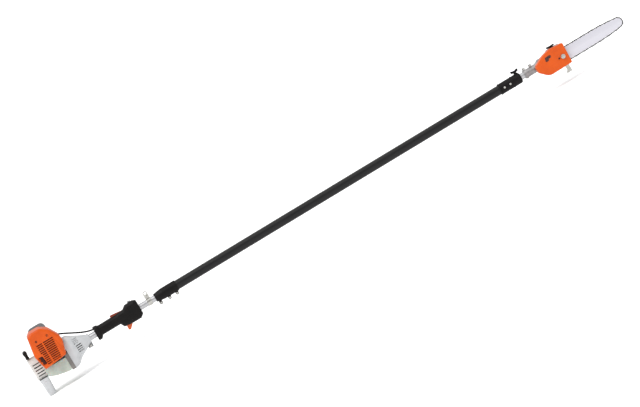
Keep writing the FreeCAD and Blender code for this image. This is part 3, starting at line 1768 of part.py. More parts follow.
def saw_chain():
    """Drive links in the groove and pairs of side plates with their rivets, round the whole bar."""
    stations, total = chain_stations(rivet_line, chain_link_count)
    print("chain pitch", round(total / chain_link_count, 3))
    links = []
    rivet_radius = 0.9
    for index in range(chain_link_count):
        x0, z0 = stations[index]
        x1, z1 = stations[(index + 1) % chain_link_count]
        length = math.dist((x0, z0), (x1, z1))
        heading = math.degrees(math.atan2(z1 - z0, x1 - x0))
        if index % 2 == 0:
            link = drive_link(length, rivet_radius)
        else:
            link = strap_pair(length, rivet_radius, (index // 2) % 2 == 0)
        link.rotate(FreeCAD.Vector(0, 0, 0), along_y, -heading)
        link.translate(at(x0, 0, z0))
        links.append(link)
    return Part.makeCompound(links)


def link_outline(length, low, high, y_low, thickness, tang):
    """A chain plate over one pitch, with its tang below if it has one."""
    end = 2.3
    corners = [
        (-end, low, 1.0),
        (-end, high, 1.0),
        (length + end, high, 1.0),
        (length + end, low, 1.0),
    ]
    if tang > 0:
        corners += [(length * 0.72, low, 0), (length * 0.5, low - tang, 0.8), (length * 0.2, low, 0)]
    wire = rounded_wire(corners, lambda x, z: FreeCAD.Vector(x, y_low, z))
    return Part.Face(wire).extrude(along_y * thickness)


def drive_link(length, rivet_radius):
    """Middle plate whose tang runs in the bar's groove."""
    half = drive_link_plate / 2
    plate = link_outline(length, -1.2, 2.1, bar_plane - half, drive_link_plate, 3.2)
    for x in (0, length):
        hole = rod(
            rivet_radius + 0.1, FreeCAD.Vector(x, bar_plane - 3, 0), along_y, 6
        )
        plate = plate.cut(hole)
    return plate


def strap_pair(length, rivet_radius, cutter):
    """Two side plates joined by two rivets; a cutter's pair also has its depth gauge and tooth."""
    inner = drive_link_plate / 2 + 0.08
    plates = []
    for side in (-1, 1):
        near = bar_plane + (inner if side > 0 else -inner - link_plate)
        plates.append(link_outline(length, -1.3, 2.0, near, link_plate, 0))
    for x in (0, length):
        plates.append(
            rod(
                rivet_radius,
                FreeCAD.Vector(x, bar_plane - inner - link_plate - 0.2, 0),
                along_y,
                2 * (inner + link_plate + 0.2),
            )
        )
    if cutter:
        near = bar_plane - inner - link_plate
        corners = [
            (-2.0, 1.5, 0),
            (-2.0, chain_height - 1.8, 0.5),
            (1.0, chain_height - 1.7, 0.5),
            (3.0, 2.0, 0.5),
            (length - 3.4, 2.0, 0.3),
            (length - 3.0, chain_height - 1.5, 0.3),
            (length + 2.2, chain_height - 1.9, 0.3),
            (length + 2.2, 1.5, 0),
        ]
        wire = rounded_wire(corners, lambda x, z: FreeCAD.Vector(x, near, z))
        plates.append(Part.Face(wire).extrude(along_y * link_plate))
    return fuse(plates)


cover_corners = [
    (bevel_x - 68, 5, 8),
    (bevel_x - 21, 31, 14),
    (bevel_x + 12, 41, 10),
    (bevel_x + 72, 37, 4),
    (bevel_x + 69, -48, 4),
    (bevel_x - 34, -50, 34),
    (bevel_x - 67, -18, 20),
]


def cover_body(inset, near, far):
    """The sprocket cover's outline made smaller all round, with a rounded outer edge."""
    wire = rounded_wire(cover_corners, lambda x, z: at(x, near, z))
    if inset > 0:
        wire = wire.makeOffset2D(-inset)
    solid = Part.Face(wire).extrude(along_y * (far - near))
    edges = [
        e for e in solid.Edges
        if abs(e.BoundBox.YMin - near) < 0.01 and abs(e.BoundBox.YMax - near) < 0.01
    ]
    return solid.makeFillet(3.5 - min(inset, 2.5), edges)


rear_recess = [
    (bevel_x - 21, 3, 4),
    (bevel_x, 6, 4),
    (bevel_x + 4, 22, 4),
    (bevel_x - 16, 18, 4),
]
front_recess = [
    (bevel_x + 18, 19, 3),
    (bevel_x + 56, 14, 3),
    (bevel_x + 58, 22, 3),
    (bevel_x + 20, 27, 3),
]
recess_depth = 1.2


def sprocket_cover():
    """Orange cover over the sprocket, open at the front for the bar and the chain."""
    shell = cover_body(0, cover_near, cover_far).cut(
        cover_body(cover_wall, cover_near + cover_wall, cover_far + 5)
    )
    seat_end = bar_plane - bar_thickness / 2 - 0.1
    boss = rod(10, at(stud_x, cover_near + 1, bar_z), along_y, seat_end - cover_near - 1)
    seat = block((stud_x - 8, stud_x + 8), (cover_near + 1, seat_end), (bar_z - 9, bar_z + 9))
    body = fuse([shell, boss, seat])
    tools = [
        block(
            (bevel_x + 58, bevel_x + 82), (cover_near + 12, cover_far + 1), (bar_z - 33, bar_z + 33)
        ),
        rod(stud_radius + touch_gap, at(stud_x, cover_near - 2, bar_z), along_y, 40),
        rod(4, at(tensioner_x, cover_near - 2, bar_z), along_y, 8),
        side_plate(rear_recess, cover_near - 1, cover_near + recess_depth),
        side_plate(front_recess, cover_near - 1, cover_near + recess_depth),
        block(
            (bevel_x - 78, bevel_x + 102), (cover_far - 4, cover_far + 10), (-80, bar_z - 30.5)
        ),
        rod(head_neck_radius + 1.5, at(head_back - 5, 0, 0), along_x, 70),
    ]
    return cut(body, tools)


def branch_hook():
    """Bent metal plate below the bar's seat that hooks round a branch."""
    x_back = stud_x - 6
    near = plate_face + 6 + touch_gap
    corners = [
        (x_back, -38, 2),
        (x_back, -hook_drop + 10, 3),
        (x_back - 7, -hook_drop + 7, 2),
        (x_back - 7, -hook_drop, 2),
        (x_back + hook_width + 1, -hook_drop, 3),
        (x_back + hook_width, -38, 2),
    ]
    leg = side_plate(corners, near, near + hook_thickness)
    foot = block(
        (x_back - 5, x_back + hook_width), (near, near + 14), (-hook_drop, -hook_drop + hook_thickness)
    )
    return fuse([leg, foot])


parts = {
    "support_foot": support_foot,
    "starter_housing": starter_housing,
    "starter_pulley": starter_pulley,
    "rewind_spring": rewind_spring,
    "starter_rope": starter_rope,
    "starter_grip": starter_grip,
    "crankcase": crankcase,
    "shaft_bearings": shaft_bearings,
    "crankshaft": crankshaft,
    "cylinder": cylinder,
    "piston": piston,
    "spark_plug": spark_plug,
    "plug_boot": plug_boot,
    "muffler": muffler,
    "engine_shroud": engine_shroud,
    "casing_screws": casing_screws,
    "carburettor": carburettor,
    "filter_housing": filter_housing,
    "filter_element": filter_element,
    "filter_cover": filter_cover,
    "choke_lever": choke_lever,
    "primer_bulb": primer_bulb,
    "fuel_tank": fuel_tank,
    "fuel_cap": fuel_cap,
    "rubber_buffer": rubber_buffer,
    "fan_housing": fan_housing,
    "clamp_block": clamp_block,
    "flywheel_fan": flywheel_fan,
    "clutch_shoes": clutch_shoes,
    "clutch_drum": clutch_drum,
    "drive_tube": drive_tube,
    "drive_shaft_rear": drive_shaft_rear,
    "tube_bushes": tube_bushes,
    "handle_shell_right": lambda: handle_shell(-1),
    "handle_shell_left": lambda: handle_shell(1),
    "throttle_trigger": throttle_trigger,
    "throttle_lockout": throttle_lockout,
    "stop_switch": stop_switch,
    "throttle_cable": lambda: cable_solid(cable_radius),
    "carrying_eye": carrying_eye,
    "rear_clamp": rear_clamp,
    "outer_tube": outer_tube,
    "front_clamp": front_clamp,
    "clamp_screws": clamp_screws,
    "wing_knob": wing_knob,
    "inner_tube": inner_tube,
    "inner_bushes": inner_bushes,
    "drive_shaft_front": drive_shaft_front,
    "gear_housing": gear_housing,
    "head_screws": head_screws,
    "oil_cap": oil_cap,
    "bevel_gear": bevel_gear,
    "drive_sprocket": drive_sprocket,
    "bar_nut": bar_nut,
    "chain_tensioner": chain_tensioner,
    "guide_bar": guide_bar,
    "nose_sprocket": nose_sprocket,
    "saw_chain": saw_chain,
    "sprocket_cover": sprocket_cover,
    "branch_hook": branch_hook,
}


def main():
    """Build every piece and write it to its own file."""
    os.makedirs("parts", exist_ok=True)
    for name, build in parts.items():
        shape = build()
        solids = len(shape.Solids)
        low = shape.BoundBox
        print(
            name, "solids", solids, "valid", shape.isValid(),
            [round(v, 1) for v in (low.XMin, low.XMax, low.YMin, low.YMax, low.ZMin, low.ZMax)],
        )
        if len(shape.Solids) == 1:
            shape = shape.Solids[0]
        shape.exportStep(os.path.join("parts", name + ".step"))


main()
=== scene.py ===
"""Looks of the telescoping pole saw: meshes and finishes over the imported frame, in metres.

+X runs along the pole to the saw, +Z is up and +Y is the left side. The pole's line is SHAFT_HEIGHT above the floor.
"""
import logging
import math
from collections.abc import Callable, Sequence
from dataclasses import dataclass
from enum import Enum

import bmesh
import bpy
import numpy as np
from mathutils import Matrix, Vector
from numpy.typing import NDArray


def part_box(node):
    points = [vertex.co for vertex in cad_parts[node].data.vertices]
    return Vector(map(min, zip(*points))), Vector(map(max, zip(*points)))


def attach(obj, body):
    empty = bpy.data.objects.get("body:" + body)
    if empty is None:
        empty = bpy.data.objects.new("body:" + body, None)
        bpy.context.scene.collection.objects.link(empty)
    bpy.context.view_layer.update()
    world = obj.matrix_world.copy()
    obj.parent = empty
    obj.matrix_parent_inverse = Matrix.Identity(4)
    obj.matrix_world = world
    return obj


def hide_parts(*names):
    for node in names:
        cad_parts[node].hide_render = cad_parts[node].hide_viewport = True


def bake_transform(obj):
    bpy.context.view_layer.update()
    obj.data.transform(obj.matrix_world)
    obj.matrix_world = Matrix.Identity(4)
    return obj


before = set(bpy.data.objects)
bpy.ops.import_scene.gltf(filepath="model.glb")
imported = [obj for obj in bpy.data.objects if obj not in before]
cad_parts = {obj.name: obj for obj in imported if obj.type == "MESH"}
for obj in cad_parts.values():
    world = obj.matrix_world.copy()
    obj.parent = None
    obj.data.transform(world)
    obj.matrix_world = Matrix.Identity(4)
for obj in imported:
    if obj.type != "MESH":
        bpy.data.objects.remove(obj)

LOG = logging.getLogger("pole_saw")
MM = 0.001
SHAFT_HEIGHT = 112.0
Grid = NDArray[np.float64]
Field = Callable[[Grid], Grid]
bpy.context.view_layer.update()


# ------------------------------------------------------------------ colour and nodes
def linear(hex_colour: str) -> tuple[float, float, float, float]:
    """Turns an sRGB hex colour into linear light.

    Args:
        hex_colour: six hex digits.

    Returns:
        Linear red, green, blue and an alpha of 1.
    """
    srgb = np.array([int(hex_colour[i:i + 2], 16) / 255 for i in (0, 2, 4)])
    low = srgb / 12.92
    high = ((srgb + 0.055) / 1.055) ** 2.4
    r, g, b = np.where(srgb <= 0.04045, low, high)
    return (float(r), float(g), float(b), 1.0)


def add_node(tree: bpy.types.NodeTree, kind: str, settings: dict | None = None,
             inputs: dict | None = None) -> bpy.types.Node:
    """Adds a node with its settings, and fills or links its inputs.

    Args:
        tree: the node tree.
        kind: the node's type name.
        settings: properties of the node.
        inputs: values or sockets by input name or number.

    Returns:
        The new node.
    """
    node = tree.nodes.new(kind)
    for name, value in (settings or {}).items():
        setattr(node, name, value)
    for name, value in (inputs or {}).items():
        if isinstance(value, bpy.types.NodeSocket):
            tree.links.new(value, node.inputs[name])
        else:
            node.inputs[name].default_value = value
    return node


class Sheen(Enum):
    """How a surface throws light back."""

    MATT = 0.72
    SATIN = 0.5
    SEMI_GLOSS = 0.36
    POLISHED = 0.22


@dataclass(frozen=True)
class Finish:
    """A finish: a base colour that drifts to a second one, a grain, and a roughness that wanders.

    The grain's size is in millimetres. Grain finer than about 1.5 mm is drawn at 1.5 mm so that it shows.
    """

    name: str
    colour: str
    drift: str
    sheen: Sheen = Sheen.SATIN
    metallic: float = 0.0
    ior: float = 1.5
    grain_mm: float = 1.5
    grain_depth_mm: float = 0.05
    drift_mm: float = 70.0
    wander: float = 0.08
    stretch: tuple[float, float, float] = (1.0, 1.0, 1.0)
    coat: float = 0.0
    subsurface: float = 0.0
    dust: float = 0.0
    edge_mm: float = 0.5
    specular: float = 0.5

    def tint(self, tree: bpy.types.NodeTree, place: bpy.types.NodeSocket) -> bpy.types.NodeSocket:
        """Mixes the two colours by a soft cloud, and lays dust on what faces up.

        Args:
            tree: the material's node tree.
            place: the socket that gives the place on the piece.

        Returns:
            The socket of the base colour.
        """
        cloud = add_node(tree, "ShaderNodeTexNoise", {}, {
            "Vector": place, "Scale": 1000 / self.drift_mm, "Detail": 5.0, "Roughness": 0.6})
        amount = add_node(tree, "ShaderNodeMapRange", {}, {
            "Value": cloud.outputs["Fac"], "From Min": 0.36, "From Max": 0.66})
        mixed = add_node(tree, "ShaderNodeMix", {"data_type": "RGBA"}, {
            "Factor": amount.outputs["Result"], "A": linear(self.colour), "B": linear(self.drift)})
        if self.dust <= 0:
            return mixed.outputs["Result"]
        facing = add_node(tree, "ShaderNodeNewGeometry")
        upward = add_node(tree, "ShaderNodeSeparateXYZ", {}, {"Vector": facing.outputs["Normal"]})
        patch = add_node(tree, "ShaderNodeTexNoise", {}, {
            "Vector": place, "Scale": 160.0, "Detail": 6.0, "Roughness": 0.7})
        spread = add_node(tree, "ShaderNodeMath", {"operation": "MULTIPLY"}, {
            0: upward.outputs["Z"], 1: patch.outputs["Fac"]})
        veil = add_node(tree, "ShaderNodeMapRange", {}, {
            "Value": spread.outputs["Value"], "From Min": 0.25, "From Max": 0.7, "To Max": self.dust})
        dusty = add_node(tree, "ShaderNodeMix", {"data_type": "RGBA"}, {
            "Factor": veil.outputs["Result"], "A": mixed.outputs["Result"], "B": linear("B9B2A4")})
        return dusty.outputs["Result"]

    def relief(self, tree: bpy.types.NodeTree, place: bpy.types.NodeSocket) -> bpy.types.NodeSocket:
        """Takes the height of the grain from fine noise.

        Args:
            tree: the material's node tree.
            place: the socket that gives the place on the piece.

        Returns:
            The socket of the height.
        """
        grain = add_node(tree, "ShaderNodeTexNoise", {}, {
            "Vector": place, "Scale": 1000 / max(self.grain_mm, 1.5), "Detail": 3.0, "Roughness": 0.55})
        return grain.outputs["Fac"]

    def make(self) -> bpy.types.Material:
        """Builds the material.

        Returns:
            The material, ready for an object's slot.
        """
        material = bpy.data.materials.new(self.name)
        material.use_nodes = True
        tree = material.node_tree
        shader = tree.nodes["Principled BSDF"]
        spot = add_node(tree, "ShaderNodeTexCoord")
        mapped = add_node(tree, "ShaderNodeMapping", {}, {
            "Vector": spot.outputs["Object"], "Scale": self.stretch})
        place = mapped.outputs["Vector"]
        height = self.relief(tree, place)
        rounded = add_node(tree, "ShaderNodeBevel", {"samples": 4}, {"Radius": self.edge_mm * MM})
        bump = add_node(tree, "ShaderNodeBump", {}, {
            "Height": height, "Strength": 1.0, "Distance": self.grain_depth_mm * MM,
            "Normal": rounded.outputs["Normal"]})
        rough = add_node(tree, "ShaderNodeMapRange", {}, {
            "Value": height, "From Min": 0.3, "From Max": 0.7,
            "To Min": self.sheen.value - self.wander, "To Max": self.sheen.value + self.wander})
        links = tree.links
        links.new(self.tint(tree, place), shader.inputs["Base Color"])
        links.new(rough.outputs["Result"], shader.inputs["Roughness"])
        links.new(bump.outputs["Normal"], shader.inputs["Normal"])
        shader.inputs["Metallic"].default_value = self.metallic
        if self.metallic < 0.5:
            shader.inputs["IOR"].default_value = self.ior
            shader.inputs["Specular IOR Level"].default_value = self.specular
        shader.inputs["Coat Weight"].default_value = self.coat
        shader.inputs["Coat Roughness"].default_value = 0.25
        if self.subsurface > 0:
            shader.inputs["Subsurface Weight"].default_value = self.subsurface
            shader.inputs["Subsurface Scale"].default_value = 0.004
        return material


# ------------------------------------------------------------------ finishes
# Glass-filled nylon from a spark-eroded mould: an even fine grain that breaks the highlight into a soft glow.
ORANGE_NYLON = Finish("moulded orange nylon", "CE5207", "C24A06", Sheen.SEMI_GLOSS, grain_mm=0.6,
                      grain_depth_mm=0.05, dust=0.03, edge_mm=0.8, specular=0.25)
# The same nylon in the small controls, a little redder and smoother from handling.
HANDLED_NYLON = Finish("handled orange nylon", "CB5210", "B84409", Sheen.SEMI_GLOSS, grain_depth_mm=0.03)
# The lockout is dyed brown-red, and its top is polished by the palm.
BROWN_NYLON = Finish("palm-polished brown nylon", "8A3418", "6B2610", Sheen.SEMI_GLOSS, grain_depth_mm=0.03,
                     specular=0.3)
# Grey-white nylon of the housings: slightly warm, with flow marks as faint clouds.
PALE_NYLON = Finish("moulded pale grey nylon", "BFC1C3", "B1B3B5", Sheen.SATIN, grain_mm=0.8,
                    grain_depth_mm=0.06, dust=0.12, edge_mm=0.8)
WARM_NYLON = Finish("moulded warm grey nylon", "CBC9C6", "B9B7B3", Sheen.SATIN, grain_mm=0.8,
                    grain_depth_mm=0.06, dust=0.12, edge_mm=0.8)
# Blow-moulded polyethylene: waxy, and light goes some way in.
TANK_POLYETHYLENE = Finish("blown polyethylene", "B9BEB5", "A6ACA2", Sheen.SEMI_GLOSS, ior=1.52,
                           grain_depth_mm=0.03, drift_mm=45.0, subsurface=0.35, edge_mm=1.0)
# Black nylon with a leather-like mould grain.
BLACK_NYLON = Finish("moulded black nylon", "121010", "0B0A0A", Sheen.SATIN, specular=0.14, grain_mm=1.2,
                     grain_depth_mm=0.09, edge_mm=0.7)
# Soft rubber: no clear highlight, greyed where it is touched.
BLACK_RUBBER = Finish("soft black rubber", "0E0E0E", "151413", Sheen.MATT, specular=0.15,
                      grain_depth_mm=0.08, dust=0.05)
GREY_RUBBER = Finish("moulded grey rubber", "8F8B88", "726F6C", Sheen.MATT, grain_depth_mm=0.1, dust=0.1)
# Deep faces of the cooling slots: a dark grey that paints the shade inside the slots.
SHADED_GREY = Finish("dark grey painted slot shade", "2E2C2B", "3A3735", Sheen.MATT)
# Deep faces of the louvres, the window and the gap in the slope: a dark brown-orange that paints the shade inside
# them.
PAINTED_SHADE_ORANGE = Finish("orange nylon with painted shade", "4E150A", "260A06", Sheen.MATT, drift_mm=25.0)
# Deep faces of the sprocket cover's recess and the tensioner's hole: a dark brown-orange that paints the shade in
# them.
PAINTED_RECESS_SHADE_ORANGE = Finish("orange nylon with painted recess shade", "4E1A0A", "2C1008", Sheen.SEMI_GLOSS, drift_mm=12.0)
GREY_NYLON = Finish("moulded mid grey nylon", "7D7E80", "6E6F71", Sheen.SATIN, grain_depth_mm=0.06)
# Powder coat: orange peel a few millimetres wide under a thin glossy skin.
BLACK_POWDER_COAT = Finish("black powder coat", "161617", "101011", Sheen.SEMI_GLOSS, specular=0.18,
                           grain_mm=2.4, grain_depth_mm=0.05, coat=0.12, dust=0.03)
# Drawn aluminium: fine lines along the tube, from the die.
DRAWN_ALUMINIUM = Finish("drawn aluminium", "B4B4B6", "9C9C9E", Sheen.SEMI_GLOSS, metallic=1.0, grain_mm=1.5,
                         grain_depth_mm=0.03, stretch=(0.04, 1.0, 1.0), wander=0.1)
# Die-cast aluminium, tumbled: lumps of a millimetre or two and a dull shine.
CAST_ALUMINIUM = Finish("tumbled die-cast aluminium", "A9A7A7", "8A8787", Sheen.SATIN, metallic=1.0, grain_mm=2.0,
                        grain_depth_mm=0.12, drift_mm=30.0)
ZINCED_STEEL = Finish("zinc-plated steel", "B9B8B4", "9F9D97", Sheen.POLISHED, metallic=1.0,
                      grain_depth_mm=0.02, drift_mm=12.0)
BLUED_STEEL = Finish("oil-blued steel", "1B1918", "100F0E", Sheen.SATIN, metallic=0.6,
                     grain_depth_mm=0.04, drift_mm=9.0)
# Ground and nickelled bar: the grinding runs along the bar.
GROUND_BAR_STEEL = Finish("ground nickelled steel", "D0CFD6", "BFBEC6", Sheen.SEMI_GLOSS, metallic=0.35,
                          grain_depth_mm=0.03, stretch=(0.05, 1.0, 1.0), wander=0.1, edge_mm=0.4)
FILTER_PAPER = Finish("pleated filter paper", "D9CFB4", "C8BC9C", Sheen.MATT, grain_depth_mm=0.1)
STARTER_CORD = Finish("laid polyester cord", "A8A396", "8B8578", Sheen.MATT, grain_mm=1.5,
                      grain_depth_mm=0.2, drift_mm=3.0)


# ------------------------------------------------------------------ surfaces
def mesh_object(name: str, points: Grid, closed: bool, poles: tuple[bool, bool],
                finish: bpy.types.Material, hollow: Grid | None = None,
                inside: bpy.types.Material | None = None) -> bpy.types.Object:
    """Puts a grid of points into a mesh.

    Rows run along the shape and columns run round it. Where a row has shrunk to a point, its corners merge into
    a pole; the faces are then turned outwards.

    Args:
        name: the object's name.
        points: rows x columns x 3, in millimetres with heights above the floor.
        closed: whether the last column joins the first.
        poles: whether the first and the last row are closed by a face.
        finish: the material.
        hollow: where it is over a half, a face takes the second material, the painted shade of deep places.
        inside: the second material, a dark colour that paints shade.

    Returns:
        The new object, smooth but for its real edges.
    """
    rows, columns = points.shape[:2]
    ids = np.arange(rows * columns).reshape(rows, columns)
    ahead = np.roll(ids, -1, axis=1) if closed else ids[:, 1:]
    here = ids if closed else ids[:, :-1]
    quads = np.stack([here[:-1], ahead[:-1], ahead[1:], here[1:]], axis=-1).reshape(-1, 4)
    faces = quads.tolist()
    faces += [ids[row].tolist() for row, shut in zip((0, -1), poles) if shut]
    mesh = bpy.data.meshes.new(name)
    mesh.from_pydata((points.reshape(-1, 3) * MM).tolist(), [], faces)
    if hollow is not None:
        corner = hollow.reshape(-1)[quads]
        mesh.polygons.foreach_set("material_index", np.concatenate(
            [(corner.min(axis=1) > 0.5).astype(np.int32), np.zeros(len(faces) - len(quads), np.int32)]))
    work = bmesh.new()
    work.from_mesh(mesh)
    bmesh.ops.remove_doubles(work, verts=work.verts, dist=0.00002)
    bmesh.ops.recalc_face_normals(work, faces=work.faces)
    work.to_mesh(mesh)
    work.free()
    mesh.shade_smooth()
    mesh.set_sharp_from_angle(angle=math.radians(38))
    piece = bpy.data.objects.new(name, mesh)
    bpy.context.scene.collection.objects.link(piece)
    mesh.materials.append(finish)
    if inside is not None:
        mesh.materials.append(inside)
    return piece


def resampled(line: Grid, count: int) -> Grid:
    """Spaces a closed line's points at equal steps of its length.

    Args:
        line: the given points, any number of axes.
        count: how many points are wanted.

    Returns:
        count points on the straight runs between the given ones.
    """
    loop = np.vstack([line, line[:1]])
    travel = np.concatenate([[0.0], np.cumsum(np.linalg.norm(np.diff(loop, axis=0), axis=1))])
    wanted = np.linspace(0.0, travel[-1], count, endpoint=False)
    return np.stack([np.interp(wanted, travel, loop[:, axis]) for axis in range(loop.shape[1])], axis=-1)


def rounded_outline(corners: Sequence[tuple[float, float, float]], count: int) -> Grid:
    """Closed outline whose corners are arcs tangent to both sides, at equal steps.

    Args:
        corners: (u, v, radius) in order.
        count: how many points.

    Returns:
        count x 2 points.
    """
    given = np.array(corners, float)
    spots, radii = given[:, :2], np.maximum(given[:, 2], 0.01)
    back = np.roll(spots, 1, axis=0) - spots
    ahead = np.roll(spots, -1, axis=0) - spots
    back /= np.linalg.norm(back, axis=1, keepdims=True)
    ahead /= np.linalg.norm(ahead, axis=1, keepdims=True)
    half = np.arccos(np.clip((back * ahead).sum(1), -1, 1)) / 2
    bisector = back + ahead
    bisector /= np.linalg.norm(bisector, axis=1, keepdims=True)
    centres = spots + bisector * (radii / np.sin(half))[:, None]
    begin = spots + back * (radii / np.tan(half))[:, None] - centres
    end = spots + ahead * (radii / np.tan(half))[:, None] - centres
    first = np.arctan2(begin[:, 1], begin[:, 0])
    turn = (np.arctan2(end[:, 1], end[:, 0]) - first + math.pi) % (2 * math.pi) - math.pi
    angles = first[:, None] + turn[:, None] * np.linspace(0, 1, 12)
    arcs = centres[:, None] + radii[:, None, None] * np.stack([np.cos(angles), np.sin(angles)], axis=-1)
    return resampled(arcs.reshape(-1, 2), count)


def sunk(points: Grid, depth: Field) -> Grid:
    """Moves a grid's points inwards along its own normals.

    The normal is the cross product of the differences along the rows and the columns, turned to point away from
    the grid's middle.

    Args:
        points: rows x columns x 3.
        depth: gives each point's depth in millimetres.

    Returns:
        The moved points.
    """
    around = np.roll(points, -1, axis=1) - np.roll(points, 1, axis=1)
    along = np.gradient(points, axis=0)
    normals = np.cross(around, along)
    size = np.linalg.norm(normals, axis=-1, keepdims=True)
    normals = normals / np.maximum(size, 1e-9)
    outward = points - points.mean(axis=(0, 1))
    if (normals * outward).sum() < 0:
        normals = -normals
    return points - normals * depth(points)[..., None]


def slot_mask(u: Grid, v: Grid, centre: tuple[float, float], half: tuple[float, float], corner: float,
              soft: float = 0.8, lean: float = 0.0) -> Grid:
    """One inside a rounded rectangle and nought outside, with a soft edge.

    The distance to the rectangle is that of its quarter: how far the point lies past the straight sides, less
    the corner radius. A smooth step over the soft width turns it into the mask.

    Args:
        u: first coordinate of the points.
        v: second coordinate of the points.
        centre: the rectangle's middle.
        half: its half sizes.
        corner: its corner radius.
        soft: width of the edge.
        lean: how far u shifts for one step of v.

    Returns:
        The mask, shaped as u.
    """
    across = u - centre[0] - lean * (v - centre[1])
    du = np.maximum(np.abs(across) - half[0] + corner, 0)
    dv = np.maximum(np.abs(v - centre[1]) - half[1] + corner, 0)
    share = np.clip((corner - np.hypot(du, dv)) / soft + 0.5, 0, 1)
    return share * share * (3 - 2 * share)


def line_mask(u: Grid, v: Grid, start: tuple[float, float], end: tuple[float, float], half: float,
              soft: float = 1.0) -> Grid:
    """One within a half width of a straight line between two points, falling off softly.

    A point's share along the line is held between its ends, and its distance is that to the point there.

    Args:
        u: first coordinate of the points.
        v: second coordinate of the points.
        start: one end.
        end: the other end.
        half: half width of the line.
        soft: width of the edge.

    Returns:
        The mask, shaped as u.
    """
    axis = np.array(end) - np.array(start)
    length = float(np.hypot(*axis))
    share = np.clip(((u - start[0]) * axis[0] + (v - start[1]) * axis[1]) / length ** 2, 0, 1)
    away = np.hypot(u - start[0] - share * axis[0], v - start[1] - share * axis[1])
    rise = np.clip((half - away) / soft + 0.5, 0, 1)
    return rise * rise * (3 - 2 * rise)


def lathe(name: str, profile: Sequence[tuple[float, float]], finish: bpy.types.Material,
          sides: int) -> bpy.types.Object:
    """Turns a profile about a line along the pole: side and height are radius times cosine and sine of the turn.

    Args:
        name: the object's name.
        profile: (station, radius) from end to end.
        finish: the material.
        sides: how many columns go round.

    Returns:
        The new object.
    """
    stations = np.array(profile, float)
    turn = np.linspace(0, 2 * math.pi, sides, endpoint=False)
    x = np.repeat(stations[:, :1], sides, axis=1)
    y = stations[:, 1:] * np.cos(turn)
    z = SHAFT_HEIGHT + stations[:, 1:] * np.sin(turn)
    return mesh_object(name, np.stack([x, y, z], axis=-1), True, (True, True), finish)


@dataclass
class MouldedCover:
    """A cup with a rounded outline: a wall, a rounded edge, and a face that is crowned towards its middle.

    The first parameter goes from the rim over the rounded edge to the middle of the face, the second one round
    the outline. A point's distance from the outline is taken along its line to the middle.
    """

    name: str
    corners: Sequence[tuple[float, float, float]]
    face: float
    rim: Callable[[Grid, Grid], Grid]
    rounding: float
    crown: float
    place: Callable[[Grid, Grid, Grid], Grid]
    depth: Field
    outward: float = -1.0
    # faces deeper than this take the second finish, a painted shade
    dark_below: float = 2.0
    count: int = 400
    face_rows: int = 84
    wall_rows: int = 12

    def grid(self) -> tuple[Grid, Grid]:
        """Works out the points.

        Returns:
            rows x columns x 3 in millimetres, and a mask of where the relief is deep enough to take painted shade.
        """
        edge = rounded_outline(self.corners, self.count)
        middle = edge.mean(axis=0)
        reach = np.linalg.norm(edge - middle, axis=1)
        rim = self.rim(edge[:, 0], edge[:, 1])
        shoulder = self.face - self.outward * self.rounding
        share = np.linspace(0, 1, self.wall_rows)[:, None]
        wall_out = rim + (shoulder - rim) * share
        wall_in = np.zeros_like(wall_out)
        bend = np.linspace(0, math.pi / 2, 9)[1:, None]
        bend_out = np.repeat(shoulder + self.outward * self.rounding * np.sin(bend), self.count, axis=1)
        bend_in = np.repeat(self.rounding * (1 - np.cos(bend)), self.count, axis=1)
        run = np.linspace(0, 1, self.face_rows + 1)[1:, None]
        face_in = self.rounding + (reach - self.rounding) * run
        face_out = self.face + self.outward * self.crown * (1 - (1 - run) ** 2) + 0 * face_in
        inset = np.vstack([wall_in, bend_in, face_in])
        out = np.vstack([wall_out, bend_out, face_out])
        spot = middle + (edge - middle) * (1 - inset / reach)[..., None]
        flat = self.place(spot[..., 0], spot[..., 1], out)
        return sunk(flat, self.depth), (self.depth(flat) > self.dark_below).astype(float)

    def build(self, finish: bpy.types.Material, inside: bpy.types.Material,
              wall: float) -> bpy.types.Object:
        """Makes the object, with its wall thickened inwards and its deep places in a second finish that paints their
        shade.

        Args:
            finish: the skin's material.
            inside: the material that paints the shade of the deep places.
            wall: thickness in millimetres.

        Returns:
            The new object.
        """
        points, hollow = self.grid()
        piece = mesh_object(self.name, points, True, (False, False), finish, hollow, inside)
        solid = piece.modifiers.new("wall", "SOLIDIFY")
        solid.thickness = wall * MM
        solid.offset = -1.0
        return piece


def right_side(x: Grid, z: Grid, y: Grid) -> Grid:
    """Places an outline of (station, height above the pole) in the plane of the right side."""
    return np.stack([x, y, z + SHAFT_HEIGHT], axis=-1)


def across_pole(y: Grid, z: Grid, x: Grid) -> Grid:
    """Places an outline of (side, height above the pole) square to the pole."""
    return np.stack([x, y, z + SHAFT_HEIGHT], axis=-1)


